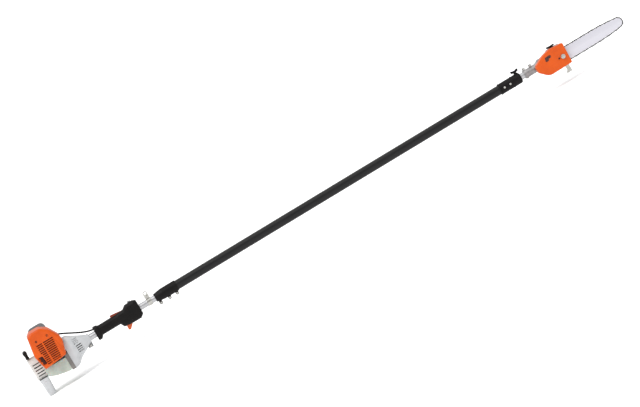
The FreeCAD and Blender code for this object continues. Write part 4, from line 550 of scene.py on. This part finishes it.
@dataclass
class Loft:
    """A body through rounded rectangles (station, half width, low, high, corner radius), smoothed between them.

    Each size follows a cubic between the given stations with the slope of its neighbours, and a section's point
    at a turn t lies on the corner arc of its quarter.
    """

    name: str
    sections: Sequence[tuple[float, float, float, float, float]]
    rows: int
    arc: int
    flat: int

    def sizes(self, stations: Grid) -> Grid:
        """Works out sizes between the given ones, with a slope limited to keep the curve between its points.

        Args:
            stations: where the sizes are wanted.

        Returns:
            One row of sizes for each station.
        """
        table = np.array(self.sections, float)
        x = table[:, 0]
        slope = np.diff(table, axis=0) / np.diff(x)[:, None]
        middle = np.where(slope[:-1] * slope[1:] > 0,
                          2 * slope[:-1] * slope[1:] / np.where(slope[:-1] + slope[1:] == 0, 1,
                                                              slope[:-1] + slope[1:]), 0)
        tangent = np.vstack([slope[:1], middle, slope[-1:]])
        cell = np.clip(np.searchsorted(x, stations, side="right") - 1, 0, len(x) - 2)
        width = x[cell + 1] - x[cell]
        t = ((stations - x[cell]) / width)[:, None]
        width = width[:, None]
        return ((2 * t ** 3 - 3 * t ** 2 + 1) * table[cell] + (t ** 3 - 2 * t ** 2 + t) * width * tangent[cell]
                + (3 * t ** 2 - 2 * t ** 3) * table[cell + 1] + (t ** 3 - t ** 2) * width * tangent[cell + 1])

    def section(self, sizes: Grid) -> Grid:
        """Puts points round each section: a corner's arc, then the straight side to the next corner.

        Args:
            sizes: one row for each section.

        Returns:
            rows x columns x 3 in millimetres, with heights above the floor.
        """
        half, low, high = sizes[:, 1:2], sizes[:, 2:3], sizes[:, 3:4]
        corner = np.minimum(np.minimum(sizes[:, 4:5], 0.98 * half), 0.49 * (high - low))
        turns = np.linspace(0, math.pi / 2, self.arc)
        parts = []
        signs = ((1, 1), (-1, 1), (-1, -1), (1, -1))
        for quarter, (side, lift) in enumerate(signs):
            angle = turns + quarter * math.pi / 2
            core_y = side * (half - corner)
            core_z = np.where(lift > 0, high - corner, low + corner)
            parts.append(np.stack([core_y + corner * np.cos(angle), core_z + corner * np.sin(angle)], axis=-1))
        loops = []
        share = np.linspace(0, 1, self.flat + 2)[1:-1][None, :, None]
        for quarter in range(4):
            loops.append(parts[quarter])
            here, ahead = parts[quarter][:, -1:], parts[(quarter + 1) % 4][:, :1]
            loops.append(here + (ahead - here) * share)
        flat = np.concatenate(loops, axis=1)
        x = np.repeat(sizes[:, :1], flat.shape[1], axis=1)
        return np.stack([x, flat[..., 0], flat[..., 1] + SHAFT_HEIGHT], axis=-1)

    def grid(self) -> Grid:
        """Works out the points of the sections at equal stations."""
        stations = np.linspace(self.sections[0][0], self.sections[-1][0], self.rows)
        return self.section(self.sizes(stations))


# ------------------------------------------------------------------ sub-assemblies
@dataclass
class Part3D:
    """What all sub-assemblies share: ways to dress, to place and to report pieces."""

    def material(self, finish: Finish) -> bpy.types.Material:
        """The finish's material, made once."""
        if finish.name not in SHOP:
            SHOP[finish.name] = finish.make()
        return SHOP[finish.name]

    def dress(self, node: str, finish: Finish) -> None:
        """Gives a CAD node its finish.

        Args:
            node: the node's name.
            finish: what it is dressed in.
        """
        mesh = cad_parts[node].data
        mesh.materials.clear()
        mesh.materials.append(self.material(finish))
        mesh.polygons.foreach_set("material_index", np.zeros(len(mesh.polygons), np.int32))
        LOG.info("%s dressed in %s", node, finish.name)

    def stand_for(self, piece: bpy.types.Object, body: str, slot: str, *nodes: str) -> bpy.types.Object:
        """Lets a new piece ride on a body and stand for CAD nodes.

        Args:
            piece: the new piece.
            body: the body that carries it.
            slot: the record's material slot; not used.
            nodes: the CAD nodes that it hides, if any.

        Returns:
            The piece.
        """
        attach(piece, body)
        if nodes:
            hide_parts(*nodes)
        LOG.info("%s built for %s", piece.name, ", ".join(nodes) or body)
        return piece


SHOP: dict[str, bpy.types.Material] = {}


@dataclass
class Starter(Part3D):
    """Recoil starter at the rear: slotted housing, foot, rope and T grip."""

    back: float = -23.0
    front: float = 27.0
    half_width: float = 46.0
    top: float = 51.0
    bottom: float = -40.0
    corner: float = 30.0
    slot_pitch: float = 12.0
    slot_middle: float = 3.0
    slot_half: float = 2.5
    slot_half_length: float = 16.0
    slot_depth: float = 3.2
    wall: float = 2.8
    foot_sections: Sequence[tuple[float, float, float, float, float]] = (
        (0, 39, -9, 9, 8), (1.5, 42.5, -12.5, 12.5, 9), (5, 45, -15, 15, 10), (12, 46, -16, 16, 10),
        (71.5, 46, -19, 19, 10))
    bar_sections: Sequence[tuple[float, float, float, float, float]] = (
        (-44, 4, 76, 83, 4), (-42.5, 7, 73, 86, 6), (-38, 8.5, 71, 88, 8), (-21, 8.2, 71, 87, 8),
        (-4, 8.5, 71, 88, 8), (0.5, 7, 73, 86, 6), (2, 4, 76, 83, 4))
    neck_profile: Sequence[tuple[float, float]] = (
        (165.5, 6.5), (166.5, 7.4), (170, 7.6), (175, 6.6), (180, 6.8), (185, 8.0), (190, 8.2))
    rope_line: tuple[float, float] = (-14.5, -21.0)
    rope_ends: tuple[float, float] = (112.5, 171.0)
    rope_radius: float = 1.75
    rope_strands: int = 3
    rope_lay: float = 9.0

    def slots(self, points: Grid) -> Grid:
        """Depth of the cooling slots along the housing's sides and of the ring of dimples on its back.

        Args:
            points: rows x columns x 3 in millimetres.

        Returns:
            A depth for each point, in millimetres.
        """
        x, y, z = points[..., 0], points[..., 1], points[..., 2] - SHAFT_HEIGHT
        half = (self.slot_half_length, self.slot_half)
        depth = np.zeros_like(x)
        for step in (-2, -1, 0, 1, 2):
            mask = slot_mask(x, z, (self.slot_middle, step * self.slot_pitch), half, 2.2)
            depth += self.slot_depth * mask * (np.abs(y) > 30)
        for step in (-1, 0, 1):
            mask = slot_mask(x, y, (self.slot_middle, step * self.slot_pitch), half, 2.2)
            depth += self.slot_depth * mask * (z > 30)
        turn = np.arctan2(z, y)
        ring = np.hypot(y, z)
        spokes = slot_mask(ring, np.abs((turn * 8 / math.pi + 0.5) % 1 - 0.5) * 12, (30.0, 0.0), (7.0, 2.6), 2.0)
        depth += 2.6 * spokes * (x < self.back + 2)
        return depth

    def panels(self, points: Grid) -> Grid:
        """Depth of the foot's three sunk panels, front and back, and of one on each side.

        Args:
            points: rows x columns x 3 in millimetres.

        Returns:
            A depth for each point, in millimetres.
        """
        x, y, z = points[..., 0], points[..., 1], points[..., 2]
        depth = np.zeros_like(x)
        for step in (-1, 0, 1):
            depth += 1.6 * slot_mask(y, z, (step * 27.0, 34.0), (10.0, 24.0), 5.0, 1.4) * (np.abs(x) > 12)
        return depth + 1.0 * slot_mask(x, z, (0.0, 34.0), (9.0, 24.0), 5.0, 1.4) * (np.abs(y) > 44)

    def foot(self) -> None:
        """Makes the foot: a loft that stands up, rounded where it meets the floor."""
        stand = Loft("foot_stand", self.foot_sections, rows=90, arc=14, flat=26)
        lying = stand.grid()
        upright = np.stack([lying[..., 2] - SHAFT_HEIGHT, lying[..., 1], lying[..., 0]], axis=-1)
        piece = mesh_object(stand.name, sunk(upright, self.panels), True, (True, True), self.material(PALE_NYLON))
        self.stand_for(piece, "root", "pale_plastic", "support_foot")

    def grip(self) -> None:
        """Makes the T grip: a bar through rounded squares across the pole, on a waisted neck."""
        rope_x, rope_y = self.rope_line
        bar = Loft("grip_bar", self.bar_sections, rows=80, arc=14, flat=6)
        lying = bar.grid()
        crossed = np.stack([rope_x + lying[..., 1], lying[..., 0], lying[..., 2]], axis=-1)
        piece = mesh_object(bar.name, crossed, True, (True, True), self.material(BLACK_NYLON))
        self.stand_for(piece, "starter_grip", "black_plastic", "starter_grip")
        turn = np.linspace(0, 2 * math.pi, 40, endpoint=False)
        height, radius = np.array(self.neck_profile).T
        flat = [rope_x + radius[:, None] * np.cos(turn), rope_y + radius[:, None] * np.sin(turn)]
        neck = np.stack([*flat, np.repeat(height[:, None], len(turn), axis=1)], axis=-1)
        stem = mesh_object("grip_neck", neck, True, (True, True), self.material(BLACK_NYLON))
        self.stand_for(stem, "starter_grip", "black_plastic")

    def rope(self) -> None:
        """Makes the rope, which pays out between the housing and the grip.

        Its radius rises and falls three times round, and that wave turns as it climbs, as laid strands do.
        """
        rope_x, rope_y = self.rope_line
        low, high = self.rope_ends
        climb = np.linspace(low, high, 120)[:, None]
        turn = np.linspace(0, 2 * math.pi, 24, endpoint=False)[None]
        strand = np.cos(self.rope_strands * turn - climb * 2 * math.pi / self.rope_lay)
        radius = self.rope_radius * (0.91 + 0.09 * strand)
        line = np.stack([rope_x + radius * np.cos(turn), rope_y + radius * np.sin(turn), climb + 0 * turn], axis=-1)
        piece = mesh_object("rope_line", line, True, (True, True), self.material(STARTER_CORD))
        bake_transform(piece)
        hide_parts("starter_rope")
        LOG.info("%s built for starter_rope", piece.name)

    def build(self) -> None:
        """Makes the housing, foot, grip and rope, and dresses the rest."""
        corners = [(-self.half_width, self.bottom, self.corner), (self.half_width, self.bottom, self.corner),
                   (self.half_width, self.top, self.corner), (-self.half_width, self.top, self.corner)]
        # the slots' deep faces take SHADED_GREY, a dark grey that paints their shade
        housing = MouldedCover("starter_shell", corners, self.back, lambda u, v: np.full_like(u, self.front),
                               7.0, 0.0, across_pole, self.slots, face_rows=60, wall_rows=44)
        shell = housing.build(self.material(WARM_NYLON), self.material(SHADED_GREY), self.wall)
        self.stand_for(shell, "root", "pale_plastic", "starter_housing")
        self.foot()
        self.grip()
        self.rope()
        for node, finish in (("starter_pulley", GREY_NYLON), ("rewind_spring", ZINCED_STEEL)):
            self.dress(node, finish)


@dataclass
class Engine(Part3D):
    """Engine with its louvred shroud, filter, tank and buffer."""

    cylinder: float = 72.0
    face: float = -90.4
    louvre_rows: int = 11
    louvre_pitch: float = 8.0
    louvre_half: float = 2.1
    louvre_depth: float = 5.0
    louvre_low: float = 4.8
    window_depth: float = 10.0
    gap_depth: float = 4.0
    wall: float = 2.2
    shroud_corners: Sequence[tuple[float, float, float]] = (
        (25, -10, 6), (11, 50, 16), (24, 129, 14), (39, 140.5, 9), (80, 140.5, 26), (111, 121, 20),
        (135, 80, 16), (138, 57, 12), (121, 1, 10))
    lid_corners: Sequence[tuple[float, float, float]] = (
        (34.2, 38.2, 12), (34.2, 122, 18), (46, 135, 14), (86, 135, 20), (107.8, 112, 20), (107.8, 38.2, 12))

    def rim(self, x: Grid, z: Grid) -> Grid:
        """Where the shroud's wall ends: short below, beside the starter and beside the fan housing.

        Args:
            x: stations of the outline.
            z: its heights above the pole.

        Returns:
            The wall's end, along Y.
        """
        edge = np.full_like(x, 12.0)
        edge = np.where((x < 29) & (z < 53), -47.5, edge)
        edge = np.where((x > 114) & (z < 56), -61.5, edge)
        return np.where(z < 2.5, -77.5, edge)

    def relief(self, points: Grid) -> Grid:
        """Depth of the louvres, the window and the gap in the slope, less the two ribs before the slope.

        Args:
            points: rows x columns x 3 in millimetres.

        Returns:
            A depth for each point, in millimetres.
        """
        x, y, z = points[..., 0], points[..., 1], points[..., 2] - SHAFT_HEIGHT
        front = y < self.face + 14
        depth = np.zeros_like(x)
        for row in range(self.louvre_rows):
            height = self.louvre_low + row * self.louvre_pitch
            for low, high in ((-29.0 if height < 46 else -34.0, -10.0), (-5.0, 29.0 + 0.1 * height)):
                centre = (self.cylinder + (low + high) / 2, height)
                half = ((high - low) / 2, self.louvre_half)
                depth += self.louvre_depth * slot_mask(x, z, centre, half, 1.9, 1.0)
        depth += self.window_depth * slot_mask(x, z, (30.0, 25.0), (10.0, 17.0), 3.5, 1.2, -0.12)
        ribs = line_mask(x, z, (101, 106), (126, 5), 1.5, 1.6) + line_mask(x, z, (95, 103), (119, 5), 1.1, 1.6)
        beyond = (x - 101) * 0.97 - (106 - z) * 0.24
        depth += np.clip(beyond - 2, 0, 4) * 0.35
        depth = np.where(front, depth - 1.4 * np.minimum(ribs, 1), 0)
        gap = slot_mask(x, y, (107.0, -44.0), (14.0, 7.0), 5.0, 1.5) * (z > 88)
        return depth + self.gap_depth * gap

    def clips(self, points: Grid) -> Grid:
        """Depth of the filter cover's round groove and of the finger notch under its upper edge.

        Args:
            points: rows x columns x 3 in millimetres.

        Returns:
            A depth for each point, in millimetres.
        """
        x, y, z = points[..., 0], points[..., 1], points[..., 2] - SHAFT_HEIGHT
        ring = np.abs(np.hypot(x - self.cylinder, z - 82.0) - 24.0)
        groove = 1.2 * np.clip(1.8 - ring, 0, 1)
        return np.where(y > 104, groove + 1.6 * slot_mask(x, z, (self.cylinder, 118.0), (12.0, 4.0), 3.5, 1.0), 0)

    def filter_lid(self) -> None:
        """Makes the filter cover on the left side, lower than the shroud and crowned outwards."""
        lid = MouldedCover("filter_lid", self.lid_corners, 109.0, lambda u, v: np.full_like(u, 84.3), 9.0, 2.8,
                           right_side, self.clips, outward=1.0, dark_below=9.0, count=260, face_rows=60)
        shell = lid.build(self.material(BLACK_NYLON), self.material(SHADED_GREY), self.wall)
        self.stand_for(shell, "root", "black_plastic", "filter_cover")

    def build(self) -> None:
        """Makes the shroud and the filter cover, and dresses the rest."""
        self.filter_lid()
        # deep faces of the louvres, the window and the top gap take a dark brown-orange that paints their shade
        shroud = MouldedCover("shroud_shell", self.shroud_corners, self.face, self.rim, 11.0, 0.0, right_side,
                              self.relief, dark_below=1.6, count=420, face_rows=74, wall_rows=30)
        shell = shroud.build(self.material(ORANGE_NYLON), self.material(PAINTED_SHADE_ORANGE), self.wall)
        self.stand_for(shell, "root", "orange_plastic", "engine_shroud")
        for node, finish in (("muffler", BLUED_STEEL), ("filter_housing", GREY_NYLON),
                             ("filter_element", FILTER_PAPER), ("choke_lever", HANDLED_NYLON),
                             ("primer_bulb", BLACK_RUBBER), ("fuel_tank", TANK_POLYETHYLENE),
                             ("fuel_cap", BLACK_NYLON), ("rubber_buffer", GREY_RUBBER),
                             ("crankcase", CAST_ALUMINIUM), ("cylinder", CAST_ALUMINIUM),
                             ("crankshaft", ZINCED_STEEL), ("shaft_bearings", ZINCED_STEEL),
                             ("piston", CAST_ALUMINIUM), ("spark_plug", ZINCED_STEEL),
                             ("plug_boot", BLACK_RUBBER), ("carburettor", CAST_ALUMINIUM),
                             ("casing_screws", BLUED_STEEL), ("flywheel_fan", CAST_ALUMINIUM),
                             ("clutch_shoes", BLUED_STEEL), ("clutch_drum", BLUED_STEEL)):
            self.dress(node, finish)


@dataclass
class FanHousing(Part3D):
    """Pale cone from the engine to the drive tube, with its slots and the clamp block."""

    sections: Sequence[tuple[float, float, float, float, float]] = (
        (128, 60, -69, 54, 24), (146, 60, -65, 54, 24), (170, 48, -47, 44, 30), (204, 30, -30, 27, 24),
        (225, 19.5, -19.5, 18.5, 18), (231, 18, -18, 18, 17.6))
    slot_depth: float = 3.5
    grille_depth: float = 2.4
    dark_below: float = 2.0

    def slots(self, points: Grid) -> Grid:
        """Depth of four long slots low on each side and of a fine grille above and behind them.

        Args:
            points: rows x columns x 3 in millimetres.

        Returns:
            A depth for each point, in millimetres.
        """
        x, y, z = points[..., 0], points[..., 1], points[..., 2] - SHAFT_HEIGHT
        depth = np.zeros_like(x)
        for step in range(4):
            depth += self.slot_depth * slot_mask(x, z, (180.0, -22 + step * 8.5), (12.0, 1.9), 1.8, 0.9, 0.2)
            grille = slot_mask(x, z, (176.0, 14 + step * 6.0), (11.0, 1.4), 1.3, 0.8, -0.2)
            depth += self.grille_depth * grille
        return depth * (np.abs(y) > 14)

    def build(self) -> None:
        """Makes the cone and dresses the block."""
        cone = Loft("fan_housing_shell", self.sections, rows=130, arc=28, flat=36)
        smooth = cone.grid()
        # faces deep in the slots and the grille take a dark grey that paints their shade
        shaded = (self.slots(smooth) > self.dark_below).astype(float)
        shell = mesh_object(cone.name, sunk(smooth, self.slots), True, (True, True), self.material(PALE_NYLON),
                            shaded, self.material(SHADED_GREY))
        self.stand_for(shell, "root", "pale_plastic", "fan_housing")
        self.dress("clamp_block", GREY_NYLON)


@dataclass
class ControlHandle(Part3D):
    """Two-part handle with its trigger, lockout, switch and throttle cable."""

    def build(self) -> None:
        """Dresses the handle and its controls."""
        for node, finish in (("handle_shell_right", BLACK_NYLON), ("handle_shell_left", BLACK_NYLON),
                             ("throttle_trigger", HANDLED_NYLON), ("throttle_lockout", BROWN_NYLON),
                             ("stop_switch", GREY_NYLON), ("throttle_cable", BLACK_RUBBER)):
            self.dress(node, finish)


@dataclass
class Pole(Part3D):
    """Drive tube, outer tube, sliding tube, clamps, carrying eye and knob."""

    tube_radius: float = 12.7
    tube_wall: float = 1.6
    outer_radius: float = 19.0
    outer_wall: float = 1.8

    def tube(self, node: str, body: str, slot: str, finish: Finish, radius: float, wall: float) -> None:
        """Makes a tube with turned lips in place of a CAD tube, from end to end of its box.

        Args:
            node: the CAD tube.
            body: the body that carries it.
            slot: the record's material slot.
            finish: what it is dressed in.
            radius: outer radius.
            wall: thickness.
        """
        low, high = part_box(node)
        start, end = low.x / MM, high.x / MM
        lip = 0.4
        profile = [(start + 3, radius - wall), (start, radius - wall + lip), (start, radius - lip),
                   (start + lip, radius)]
        profile += [(x, radius) for x in np.linspace(start + 5, end - 5, 24)]
        profile += [(end - lip, radius), (end, radius - lip), (end, radius - wall + lip), (end - 3, radius - wall)]
        piece = lathe(node + "_skin", profile, self.material(finish), 64)
        self.stand_for(piece, body, slot, node)

    def build(self) -> None:
        """Makes the tubes and dresses the rest."""
        self.tube("drive_tube", "root", "bare_aluminium", DRAWN_ALUMINIUM, self.tube_radius,
                  self.tube_wall)
        self.tube("outer_tube", "root", "black_coated_tube", BLACK_POWDER_COAT, self.outer_radius,
                  self.outer_wall)
        self.tube("inner_tube", "telescope", "bare_aluminium", DRAWN_ALUMINIUM, self.tube_radius,
                  self.tube_wall)
        for node, finish in (("tube_bushes", GREY_NYLON), ("drive_shaft_rear", ZINCED_STEEL),
                             ("carrying_eye", ZINCED_STEEL), ("rear_clamp", BLACK_NYLON),
                             ("front_clamp", BLACK_NYLON), ("clamp_screws", ZINCED_STEEL),
                             ("wing_knob", BLACK_NYLON), ("inner_bushes", GREY_NYLON),
                             ("drive_shaft_front", ZINCED_STEEL)):
            self.dress(node, finish)


@dataclass
class SawHead(Part3D):
    """Gear housing, sprocket cover, bar, chain, oil cap and branch hook."""

    bevel: float = 2318.0
    face: float = -58.0
    recess_depth: float = 1.6
    channel_depth: float = 0.88
    nut_from_bevel: float = 48.0
    hole_from_bevel: float = 31.0
    bar_height: float = -10.4
    wall: float = 2.4

    def rim(self, x: Grid, z: Grid) -> Grid:
        """Where the cover's wall ends: open at the front for the bar, and short along the bottom.

        Args:
            x: stations of the outline.
            z: its heights above the pole.

        Returns:
            The wall's end, along Y.
        """
        edge = np.full_like(x, -27.7)
        edge = np.where((x > self.bevel + 58) & (np.abs(z - self.bar_height) < 33), -46.0, edge)
        return np.where(z < -40.9, -31.8, edge)

    def relief(self, points: Grid) -> Grid:
        """Depth of the recess, the shallow channel, the nut's seat and the tensioner's hole.

        Args:
            points: rows x columns x 3 in millimetres.

        Returns:
            A depth for each point, in millimetres.
        """
        x, y, z = points[..., 0], points[..., 1], points[..., 2] - SHAFT_HEIGHT
        rear = slot_mask(x, z, (self.bevel - 13, 12), (8.0, 9.0), 4.0, 0.9, 0.2)
        fore = slot_mask(x, z, (self.bevel - 2, 16), (9.0, 6.0), 4.0, 0.9, 0.2)
        depth = self.recess_depth * np.maximum(rear, fore)
        arc = 20.5 - 0.12 * (x - self.bevel - 38)
        depth += self.channel_depth * slot_mask(x, z - arc, (self.bevel + 38, 0.0), (18.5, 3.6), 3.0, 0.9)
        depth += 0.4 * slot_mask(x, z, (self.bevel + self.nut_from_bevel, self.bar_height), (10.5, 10.5), 10.5, 0.6)
        depth += 6.0 * slot_mask(x, z, (self.bevel + self.hole_from_bevel, self.bar_height), (3.9, 3.9), 3.9, 0.6)
        return np.where(y < self.face + 6, depth, 0)

    def build(self) -> None:
        """Makes the cover and dresses the rest."""
        b = self.bevel
        corners = [(b - 67, 9, 16), (b - 23, 32, 24), (b + 12, 41, 12), (b + 72, 37, 4), (b + 69, -48, 4),
                   (b - 34, -50, 34), (b - 67, -18, 20)]
        # deep faces of the recess and the tensioner's hole take a dark brown-orange that paints their shade
        cover = MouldedCover("cover_shell", corners, self.face, self.rim, 3.4, 0.0, right_side, self.relief,
                             dark_below=0.9, count=420, face_rows=84, wall_rows=10)
        shell = cover.build(self.material(ORANGE_NYLON), self.material(PAINTED_RECESS_SHADE_ORANGE), self.wall)
        self.stand_for(shell, "telescope", "orange_plastic", "sprocket_cover")
        for node, finish in (("gear_housing", CAST_ALUMINIUM), ("head_screws", ZINCED_STEEL),
                             ("oil_cap", BLACK_NYLON), ("bevel_gear", ZINCED_STEEL),
                             ("drive_sprocket", ZINCED_STEEL), ("bar_nut", ZINCED_STEEL),
                             ("chain_tensioner", ZINCED_STEEL), ("guide_bar", GROUND_BAR_STEEL),
                             ("nose_sprocket", ZINCED_STEEL), ("saw_chain", BLUED_STEEL),
                             ("branch_hook", ZINCED_STEEL)):
            self.dress(node, finish)


@dataclass
class Studio:
    """White floor, soft light and a long lens at the object's right side, turned so that the pole climbs."""

    azimuth: float = -5.0
    elevation: float = 6.0
    roll: float = 30.64
    distance: float = 13.79
    lens: float = 200.0
    aim: tuple[float, float, float] = (1.2615, 0.0, 0.095)

    def floor(self) -> None:
        """A wide pale floor, lit a little from below as a light table is."""
        span = np.linspace(-1, 1, 9)
        u, v = np.meshgrid(span, span, indexing="ij")
        points = np.stack([1300 + 400000 * u, 400000 * v, np.zeros_like(u)], axis=-1)
        paint = Finish("white studio paint", "FFFFFF", "FDFDFD", Sheen.MATT, grain_depth_mm=0.0)
        material = paint.make()
        glow = material.node_tree.nodes["Principled BSDF"]
        glow.inputs["Emission Color"].default_value = (1.0, 1.0, 1.0, 1.0)
        glow.inputs["Emission Strength"].default_value = 0.12
        board = mesh_object("studio_floor", points, False, (False, False), material)

    def lights(self) -> None:
        """An even sky and two broad soft lights, one from above the front and one from above the back."""
        world = bpy.data.worlds.new("studio_sky")
        world.use_nodes = True
        sky = world.node_tree.nodes["Background"]
        sky.inputs["Color"].default_value = (1.0, 1.0, 1.0, 1.0)
        sky.inputs["Strength"].default_value = 0.72
        bpy.context.scene.world = world
        for name, spot, spread, power in (("key_sky", (-1.2, -3.4, 6.0), 35.0, 1.9),
                                          ("top_sky", (1.0, 1.5, 6.0), 90.0, 0.7)):
            lamp = bpy.data.lights.new(name, "SUN")
            lamp.angle = math.radians(spread)
            lamp.energy = power
            holder = bpy.data.objects.new(name, lamp)
            holder.location = spot
            holder.rotation_mode = "QUATERNION"
            holder.rotation_quaternion = (Vector((1.2, 0, 0.1)) - Vector(spot)).to_track_quat("-Z", "Y")
            bpy.context.scene.collection.objects.link(holder)

    def camera(self) -> None:
        """The camera: its back axis comes from azimuth and elevation, and the roll turns it about that axis."""
        a, e, roll = (math.radians(v) for v in (self.azimuth, self.elevation, self.roll))
        back = Vector((math.sin(a) * math.cos(e), -math.cos(a) * math.cos(e), math.sin(e)))
        level = Vector((math.cos(a), math.sin(a), 0.0))
        rise = Vector((-math.sin(a) * math.sin(e), math.cos(a) * math.sin(e), math.cos(e)))
        right = level * math.cos(roll) - rise * math.sin(roll)
        up = level * math.sin(roll) + rise * math.cos(roll)
        data = bpy.data.cameras.new("camera")
        data.lens = self.lens
        data.sensor_width = 36.0
        data.clip_end = 1000.0
        holder = bpy.data.objects.new("camera", data)
        place = Matrix((right, up, back)).transposed().to_4x4()
        place.translation = Vector(self.aim) + back * self.distance
        holder.matrix_world = place
        bpy.context.scene.collection.objects.link(holder)
        bpy.context.scene.camera = holder

    def build(self) -> None:
        """Sets up the whole studio."""
        self.floor()
        self.lights()
        self.camera()
        bpy.context.scene.view_settings.view_transform = "Standard"


def main() -> None:
    """Builds the sub-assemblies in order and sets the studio."""
    logging.basicConfig(level=logging.INFO, format="%(name)s: %(message)s")
    for assembly in (Starter(), Engine(), FanHousing(), ControlHandle(), Pole(), SawHead()):
        assembly.build()
    Studio().build()


if __name__ == "__main__":
    main()
